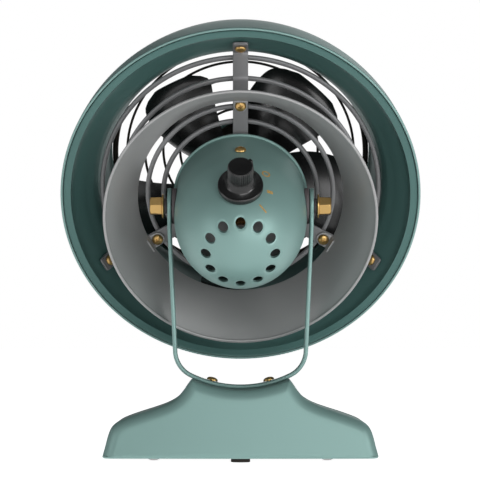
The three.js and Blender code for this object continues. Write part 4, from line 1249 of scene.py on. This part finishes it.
def dome_side(radius, length, steps):
    """The dome's side from its start to its tip."""
    out = []
    for i in range(steps + 1):
        angle = math.pi / 2 * i / steps
        out.append((radius * math.cos(angle), DOME_START + length * math.sin(angle)))
    out[-1] = (0.0, DOME_START + length)
    return out


def on_dome(across, up, lift):
    """A point of the knob's tangent plane dropped along its axis onto the dome."""
    to_head = HEAD.inverted() @ KNOB
    start = to_head @ (Vector((across, 0, up)) * MM) / MM
    way = (to_head.to_3x3() @ Vector((0, -1, 0))).normalized()
    scale = Vector((1 / HOUSING_RADIUS, 1 / DOME_LENGTH, 1 / HOUSING_RADIUS))
    p = Vector((start.x, start.y - DOME_START, start.z)) * scale
    d = way * scale
    a, b, c = d.dot(d), 2 * p.dot(d), p.dot(p) - 1
    t = (-b - math.sqrt(max(b * b - 4 * a * c, 0.0))) / (2 * a)
    hit = start + way * t
    normal = Vector((hit.x * scale.x ** 2, (hit.y - DOME_START) * scale.y ** 2, hit.z * scale.z ** 2))
    return hit + normal.normalized() * lift


def mark_ribbon(points, width, closed=False):
    """A thin printed stroke that lies on the dome, from points of the knob's plane."""
    left, right = offset(points, width / 2, closed), offset(points, -width / 2, closed)
    rows = []
    for (a, b), (c, d) in zip(left, right):
        rows.append([on_dome(a, b, 0.05), on_dome(c, d, 0.05), on_dome(c, d, -0.15), on_dome(a, b, -0.15)])
    points, faces = grid(rows, wrap_rows=closed, caps=(not closed, not closed))
    return Shape().add(points, faces)


class FAN_OT_housing(PieceOperator, bpy.types.Operator):
    """Builds the domed motor housing with its vents, screws and printed speed marks"""

    bl_idname = "desk_fan.housing"
    bl_label = "Motor housing"

    def build(self, sizes):
        lip = 1.2
        radius, front = HOUSING_RADIUS, HOUSING_FRONT
        flange = [(radius + lip - 0.4, front)]
        flange += arc((radius + lip - 0.4, front + 0.4), 0.4, -90, 0, 3)[1:]
        flange += arc((radius + lip - 0.4, front + lip), 0.4, 0, 90, 3)
        flange += arc((radius + 0.5, front + lip + 0.9), 0.5, -90, -180, 3)
        wall = [(radius, front + 3 + (DOME_START - front - 3) * k / 14) for k in range(14)]
        outer = flange + wall + dome_side(radius, DOME_LENGTH, 110)
        bore = radius - HOUSING_WALL
        inner = [(bore, front), (bore, -4), (bore, 8)]
        inner += dome_side(bore, DOME_LENGTH - HOUSING_WALL, 40)
        vent = sizes.vent_radius / MM
        sink = sizes.vent_lip / MM
        shell = lathe_waved(outer[::-1] + inner, 256)
        centres = [TAU * i / VENT_COUNT for i in range(VENT_COUNT)]
        centres = [(VENT_CIRCLE * math.sin(a), VENT_CIRCLE * math.cos(a) - VENT_DROP) for a in centres]
        for p in shell.points:
            if p.y < 50:
                continue
            near = min(math.dist((p.x, p.z), c) for c in centres)
            p.y -= sink * (1 - ease((near - vent) / 1.1))
        tools = Shape()
        for x, z in centres:
            drill = lathe([(0, 44), (vent, 44), (vent, 84), (0, 84)], 40)
            tools.join(drill, Matrix.Translation((x, 0, z)))
        for angle in SIDES.values():
            hole = lathe([(0, 34), (1.9, 34), (1.9, 46), (0, 46)], 24)
            upright = Matrix.Translation((0, HOUSING_SCREW, 0)) @ Matrix.Rotation(math.pi / 2, 4, "X")
            tools.join(hole, turned_about(angle) @ upright)
        for hand in (1, -1):
            hole = lathe([(0, 34), (3.2, 34), (3.2, 46), (0, 46)], 32)
            tools.join(hole, Matrix.Rotation(-hand * math.pi / 2, 4, "Z"))
        spindle = lathe([(0, -7), (3.3, -7), (3.3, 5), (0, 5)], 32)
        to_head = HEAD.inverted() @ KNOB
        to_head.translation = to_head.translation / MM
        tools.join(spindle, to_head)
        mesh = cut(shell, tools)
        settle("motor_housing_detail", mesh, "head", "green_paint", ("motor_housing",), 35)

        for side, angle in SIDES.items():
            turn = turned_about(angle)
            seat = turn @ Vector((0, HOUSING_SCREW, HOUSING_RADIUS + GAP))
            axis = turn @ Vector((0, 0, 1))
            short = (SCREW_HEAD, SCREW_HEIGHT, 3.0)
            place_screw(f"housing_screw_{side}", seat, axis, "head", turn=40, shape=short)

        width = sizes.mark_width / MM
        spot = math.radians(OFF_MARK)
        across, up = -MARK_CIRCLE * math.cos(spot), MARK_CIRCLE * math.sin(spot)
        loop = [(across + MARK_RING * math.cos(TAU * i / 32), up + 1.05 * MARK_RING * math.sin(TAU * i / 32))
                for i in range(32)]
        marks = mark_ribbon(loop, width, closed=True)
        for clicks, shift, start, end in ((1, -0.55, 15.6, 19.0), (1, 0.55, 15.6, 19.0), (2, 0, 15.5, 21.0)):
            turn = math.radians(OFF_MARK * (1 - clicks))
            points = []
            for k in range(9):
                r = lerp(start, end, k / 8)
                points.append((-(r * math.cos(turn) - shift * math.sin(turn)),
                               r * math.sin(turn) + shift * math.cos(turn)))
            marks.join(mark_ribbon(points, width))
        piece = make("speed_marks", marks, "head", "brass", replaced=None)
        piece.data.materials.clear()
        piece.data.materials.append(mark_paint())


def mark_paint():
    """The tan print of the speed marks, with a mottled tone and roughness."""
    material = bpy.data.materials.new("mark_print")
    material.use_nodes = True
    bench = Bench(material.node_tree)
    shader = material.node_tree.nodes["Principled BSDF"]
    place = bench.node("ShaderNodeTexCoord").outputs["Object"]
    tone = bench.spread(bench.noise(place, 1600.0, 3.0), 0.35, 0.65)
    colour = bench.blend(tone, linear("c79a3e"), linear("9a7434"))
    material.node_tree.links.new(colour, shader.inputs["Base Color"])
    rough = bench.spread(tone, 0.0, 1.0, 0.3, 0.5)
    material.node_tree.links.new(rough, shader.inputs["Roughness"])
    return material


class FAN_OT_pivots(PieceOperator, bpy.types.Operator):
    """Builds the spacers, washers, flanged nuts and bolts of the tilt axis"""

    bl_idname = "desk_fan.pivots"
    bl_label = "Tilt pivots"

    def build(self, sizes):
        for side, hand in (("left", 1), ("right", -1)):
            outwards = Matrix.Rotation(-hand * math.pi / 2, 4, "Z")
            low, high = local_box(f"pivot_spacer_{side}")
            far = max(abs(low.x), abs(high.x))
            steps = 72
            rows = []
            bore, rim = 3.25, EYE_RADIUS
            edge = 0.7
            rounded = [(rim, 0), (rim, far - edge), (rim - 0.25, far - 0.25), (rim - edge, far)]
            corners = [*rounded, (bore, far), (bore, 0)]
            for radius, x in corners:
                row = []
                for i in range(steps):
                    angle = TAU * i / steps
                    y, z = radius * math.cos(angle), radius * math.sin(angle)
                    floor = math.sqrt((HOUSING_RADIUS + GAP) ** 2 - z * z)
                    row.append((hand * (x if x else floor), y, z))
                rows.append(row)
            points, faces = grid(rows, wrap_rows=True)
            make(f"pivot_spacer_{side}_detail", Shape().add(points, faces), "head", "spacer_grey")

            low, high = local_box(f"pivot_washer_{side}")
            start, end = sorted((abs(low.x), abs(high.x)))
            outer = (high.z - low.z) / 2
            profile = [(bore, start), (outer - 0.2, start), (outer, start + 0.2), (outer, end - 0.2),
                       (outer - 0.2, end), (bore, end)]
            ring = Shape().join(lathe(profile, 64), outwards)
            make(f"pivot_washer_{side}_detail", ring, "head", "spacer_grey")

            low, high = local_box(f"pivot_nut_{side}")
            start, end = sorted((abs(low.x), abs(high.x)))
            flange = (high.z - low.z) / 2
            nut = Shape().join(hex_nut(start, end, flange), outwards)
            make(f"pivot_nut_{side}_detail", nut, "head", "brass")

            low, high = local_box(f"pivot_bolt_{side}")
            start, end = sorted((abs(low.x), abs(high.x)))
            profile = [(0, start), (5.0, start), (5.3, start + 0.4), (5.3, start + 2.6), (2.9, start + 2.6)]
            at = start + 3.0
            while at + 0.9 < end - 0.6:
                profile += [(2.62, at), (2.9, at + 0.45)]
                at += 0.9
            profile += [(2.3, end - 0.1), (2.1, end), (0, end)]
            bolt = Shape().join(lathe(profile, 48), outwards)
            make(f"pivot_bolt_{side}_detail", bolt, "head", "steel")


def hex_nut(start, end, flange):
    """A flanged hexagon nut about Y, with chamfered corners."""
    flat = 5.0
    thread = 3.2
    rows = []

    def hexagon(angle, cap):
        sector = (angle + math.pi / 6) % (math.pi / 3) - math.pi / 6
        return min(flat / math.cos(sector), cap)

    top = start + 1.2
    levels = [
        (thread + 0.1, start, None), (flange - 0.3, start, None), (flange, start + 0.3, None),
        (flange - 0.1, top - 0.3, None), (flange - 0.9, top, None), (0, top + 0.15, 6.0),
        (0, top + 0.7, 6.0), (0, end - 1.3, 6.0), (0, end - 0.7, 5.6), (0, end - 0.25, 5.15),
        (0, end, 4.75), (thread + 0.5, end, None), (thread, end - 0.5, None),
    ]
    steps = 96
    for radius, y, cap in levels:
        row = []
        for i in range(steps):
            angle = TAU * i / steps
            r = hexagon(angle, cap) if cap else radius
            row.append((r * math.cos(angle), y, r * math.sin(angle)))
        rows.append(row)
    points, faces = grid(rows, wrap_rows=True)
    return Shape().add(points, faces)


BLADE_COUNT = 5
BLADE_TIP = 75.5
BLADE_MID = -45.5
HUB_RADIUS = 15.0
HUB_LENGTH = 19.0
BLADE_THICK = 1.8
BLADE_ROOT = 20.0
BLADE_SPREAD = 36.0
FIRST_BLADE = 30.0


def blade_row(radius):
    """One closed section of a blade, wrapped round the axis."""
    share = max(radius - HUB_RADIUS, 0) / (BLADE_TIP - HUB_RADIUS)
    chord = BLADE_ROOT + BLADE_SPREAD * math.sin(0.5 * math.pi * share ** 0.8)
    round_off = min(max((share - 0.88) / 0.12, 0), 1)
    chord *= 1 - 0.08 * ease((share - 0.85) / 0.15)
    chord *= math.sqrt(max(1 - round_off ** 4, 0.3))
    pitch = math.radians(42 - 22 * share)
    sweep_angle = math.radians(14) * share ** 1.5
    out = []
    stations = 15
    sides = [(lerp(-0.5, 0.5, i / stations), 1) for i in range(stations + 1)]
    sides += [(lerp(0.5, -0.5, i / stations), -1) for i in range(1, stations)]
    for along, side in sides:
        camber = 0.07 * chord * (1 - 4 * along * along)
        thick = BLADE_THICK / 2 * math.sqrt(max(1 - abs(2 * along) ** 4, 0.02))
        across = camber + side * thick
        turn = sweep_angle + (along * chord * math.cos(pitch) - across * math.sin(pitch)) / radius
        y = BLADE_MID + along * chord * math.sin(pitch) + across * math.cos(pitch)
        out.append((radius * math.cos(turn), y, radius * math.sin(turn)))
    return out


class FAN_OT_propeller(PieceOperator, bpy.types.Operator):
    """Builds the hub and the five twisted blades"""

    bl_idname = "desk_fan.propeller"
    bl_label = "Propeller"

    def build(self, sizes):
        front = BLADE_MID - HUB_LENGTH / 2
        back = BLADE_MID + HUB_LENGTH / 2
        profile = [(0, front)]
        profile += spline([(0.01, front), (HUB_RADIUS - 6, front + 0.4), (HUB_RADIUS - 2, front + 2.4),
                           (HUB_RADIUS - 0.4, front + 5.5), (HUB_RADIUS, front + 9)], 24)[1:]
        profile += [(HUB_RADIUS, back - 0.5), (HUB_RADIUS - 0.5, back), (6.0, back), (5.5, back - 0.5),
                    (5.5, back - 3), (3.3, back - 3), (3.3, front + 4), (0, front + 4)]
        hub = lathe_waved(profile[::-1], 96)
        steps = 34
        root = HUB_RADIUS - 1.5
        rows = [blade_row(root + (BLADE_TIP - root) * i / steps) for i in range(steps + 1)]
        points, faces = grid(rows, caps=(True, True))
        blade = Shape().add(points, faces)
        for i in range(BLADE_COUNT):
            hub.join(blade, turned_about(FIRST_BLADE + i * 360 / BLADE_COUNT))
        make("propeller_detail", hub, "fan", "black_plastic")


SKIRT_RADIUS = 13.4
SKIRT_HEIGHT = 3.4
GRIP_RADIUS = 7.6
KNOB_HEIGHT = 19.0
FLUTES = 36


class FAN_OT_knob(PieceOperator, bpy.types.Operator):
    """Builds the speed knob with its skirt, fluted grip, dished top and pointer"""

    bl_idname = "desk_fan.knob"
    bl_label = "Speed knob"

    def build(self, sizes):
        profile = [(0, 1.3), (SKIRT_RADIUS - 2.4, 1.3), (SKIRT_RADIUS - 1.9, -0.7)]
        profile += [(SKIRT_RADIUS - 0.6, -0.7), (SKIRT_RADIUS - 0.2, -0.3), (SKIRT_RADIUS, 0.5)]
        profile += arc((SKIRT_RADIUS - 1.0, SKIRT_HEIGHT - 1.0), 1.0, 0, 80, 6)
        hollow = [
            (SKIRT_RADIUS - 1.2, SKIRT_HEIGHT),
            (GRIP_RADIUS + 3.0, SKIRT_HEIGHT + 0.7),
            (GRIP_RADIUS + 1.5, SKIRT_HEIGHT + 1.6),
            (GRIP_RADIUS + 0.5, SKIRT_HEIGHT + 3.2),
        ]
        profile += spline(hollow, 12)[1:]
        wall = SKIRT_HEIGHT + 4.4
        profile += [(GRIP_RADIUS, wall), (GRIP_RADIUS, wall + 2), (GRIP_RADIUS, KNOB_HEIGHT - 2.5)]
        profile += arc((GRIP_RADIUS - 0.8, KNOB_HEIGHT - 0.9), 0.8, 0, 90, 5)
        dish = 0.9
        profile += [(r, KNOB_HEIGHT - 0.1 - dish * (1 - (r / 6.4) ** 2)) for r in (6.4, 5.4, 4.2, 3.0, 1.6)]
        profile += [(0, KNOB_HEIGHT - 0.1 - dish)]

        def flute(angle, radius, y):
            if y < SKIRT_HEIGHT + 2.5 or radius < GRIP_RADIUS - 1.2:
                return 0.0
            depth = 0.5 * ease((y - SKIRT_HEIGHT - 2.5) / 2.0)
            return -depth * (0.5 + 0.5 * math.cos(FLUTES * angle)) ** 1.5

        body = lathe_waved(profile, 192, flute)
        fin = [(2.0, SKIRT_HEIGHT - 0.5), (SKIRT_RADIUS - 1.2, SKIRT_HEIGHT - 0.5),
               (SKIRT_RADIUS - 1.6, SKIRT_HEIGHT + 0.6), (GRIP_RADIUS + 2.6, SKIRT_HEIGHT + 4),
               (GRIP_RADIUS + 1.6, KNOB_HEIGHT - 1.6), (GRIP_RADIUS + 1.0, KNOB_HEIGHT - 0.7),
               (2.0, KNOB_HEIGHT - 0.9)]
        rows = []
        for shrink, z in ((0.35, -1.1), (0.1, -0.95), (0.0, -0.7), (0.0, 0.7), (0.1, 0.95), (0.35, 1.1)):
            rows.append([(x - shrink if x > 4 else x, y - (shrink if y > 8 else 0), z) for x, y in fin])
        points, faces = grid(rows, caps=(True, True))
        body.join(Shape().add(points, faces))
        spin = turned_about(180 + OFF_MARK)
        turned_body = Shape().join(body, spin)
        make("speed_knob_detail", turned_body, "knob", "black_plastic", KNOB, sharp=50)
        repaint("switch_spindle", "steel")


MOTOR_FINISHES = {
    "motor_stator": "lamination",
    "motor_coil_front": "copper_winding",
    "motor_coil_rear": "copper_winding",
    "motor_bracket_front": "steel",
    "motor_bracket_rear": "steel",
    "motor_bearing_front": "bronze",
    "motor_bearing_rear": "bronze",
    "tie_bolt_left": "steel",
    "tie_bolt_right": "steel",
    "speed_switch": "black_plastic",
    "motor_shaft": "steel",
    "motor_rotor": "lamination",
}


class FAN_OT_motor(PieceOperator, bpy.types.Operator):
    """Gives the motor's pieces inside the housing their finishes"""

    bl_idname = "desk_fan.motor"
    bl_label = "Motor"

    def build(self, sizes):
        for node, slot in MOTOR_FINISHES.items():
            repaint(node, slot)


OPERATORS = (
    FAN_OT_stage, FAN_OT_base, FAN_OT_yoke, FAN_OT_duct, FAN_OT_guard, FAN_OT_cone,
    FAN_OT_grille, FAN_OT_housing, FAN_OT_pivots, FAN_OT_propeller, FAN_OT_knob, FAN_OT_motor,
)


class FAN_PT_panel(bpy.types.Panel):
    """Lists the fan's sizes, colours and pieces"""

    bl_label = "Desk fan"
    bl_idname = "FAN_PT_panel"
    bl_space_type = "VIEW_3D"
    bl_region_type = "UI"
    bl_category = "Desk fan"

    def draw(self, context):
        for group in (context.scene.fan_sizes, context.scene.fan_colours):
            for name in group.__annotations__:
                self.layout.prop(group, name)
        for operator in OPERATORS:
            self.layout.operator(operator.bl_idname)


CLASSES = (FanColours, FanSizes, *OPERATORS, FAN_PT_panel)


def register():
    for item in CLASSES:
        bpy.utils.register_class(item)
    bpy.types.Scene.fan_sizes = bpy.props.PointerProperty(type=FanSizes)
    bpy.types.Scene.fan_colours = bpy.props.PointerProperty(type=FanColours)


def unregister():
    del bpy.types.Scene.fan_colours
    del bpy.types.Scene.fan_sizes
    for item in reversed(CLASSES):
        bpy.utils.unregister_class(item)


def main():
    register()
    for operator in OPERATORS:
        group, name = operator.bl_idname.split(".")
        getattr(getattr(bpy.ops, group), name)()
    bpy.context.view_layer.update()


if __name__ == "__main__":
    main()
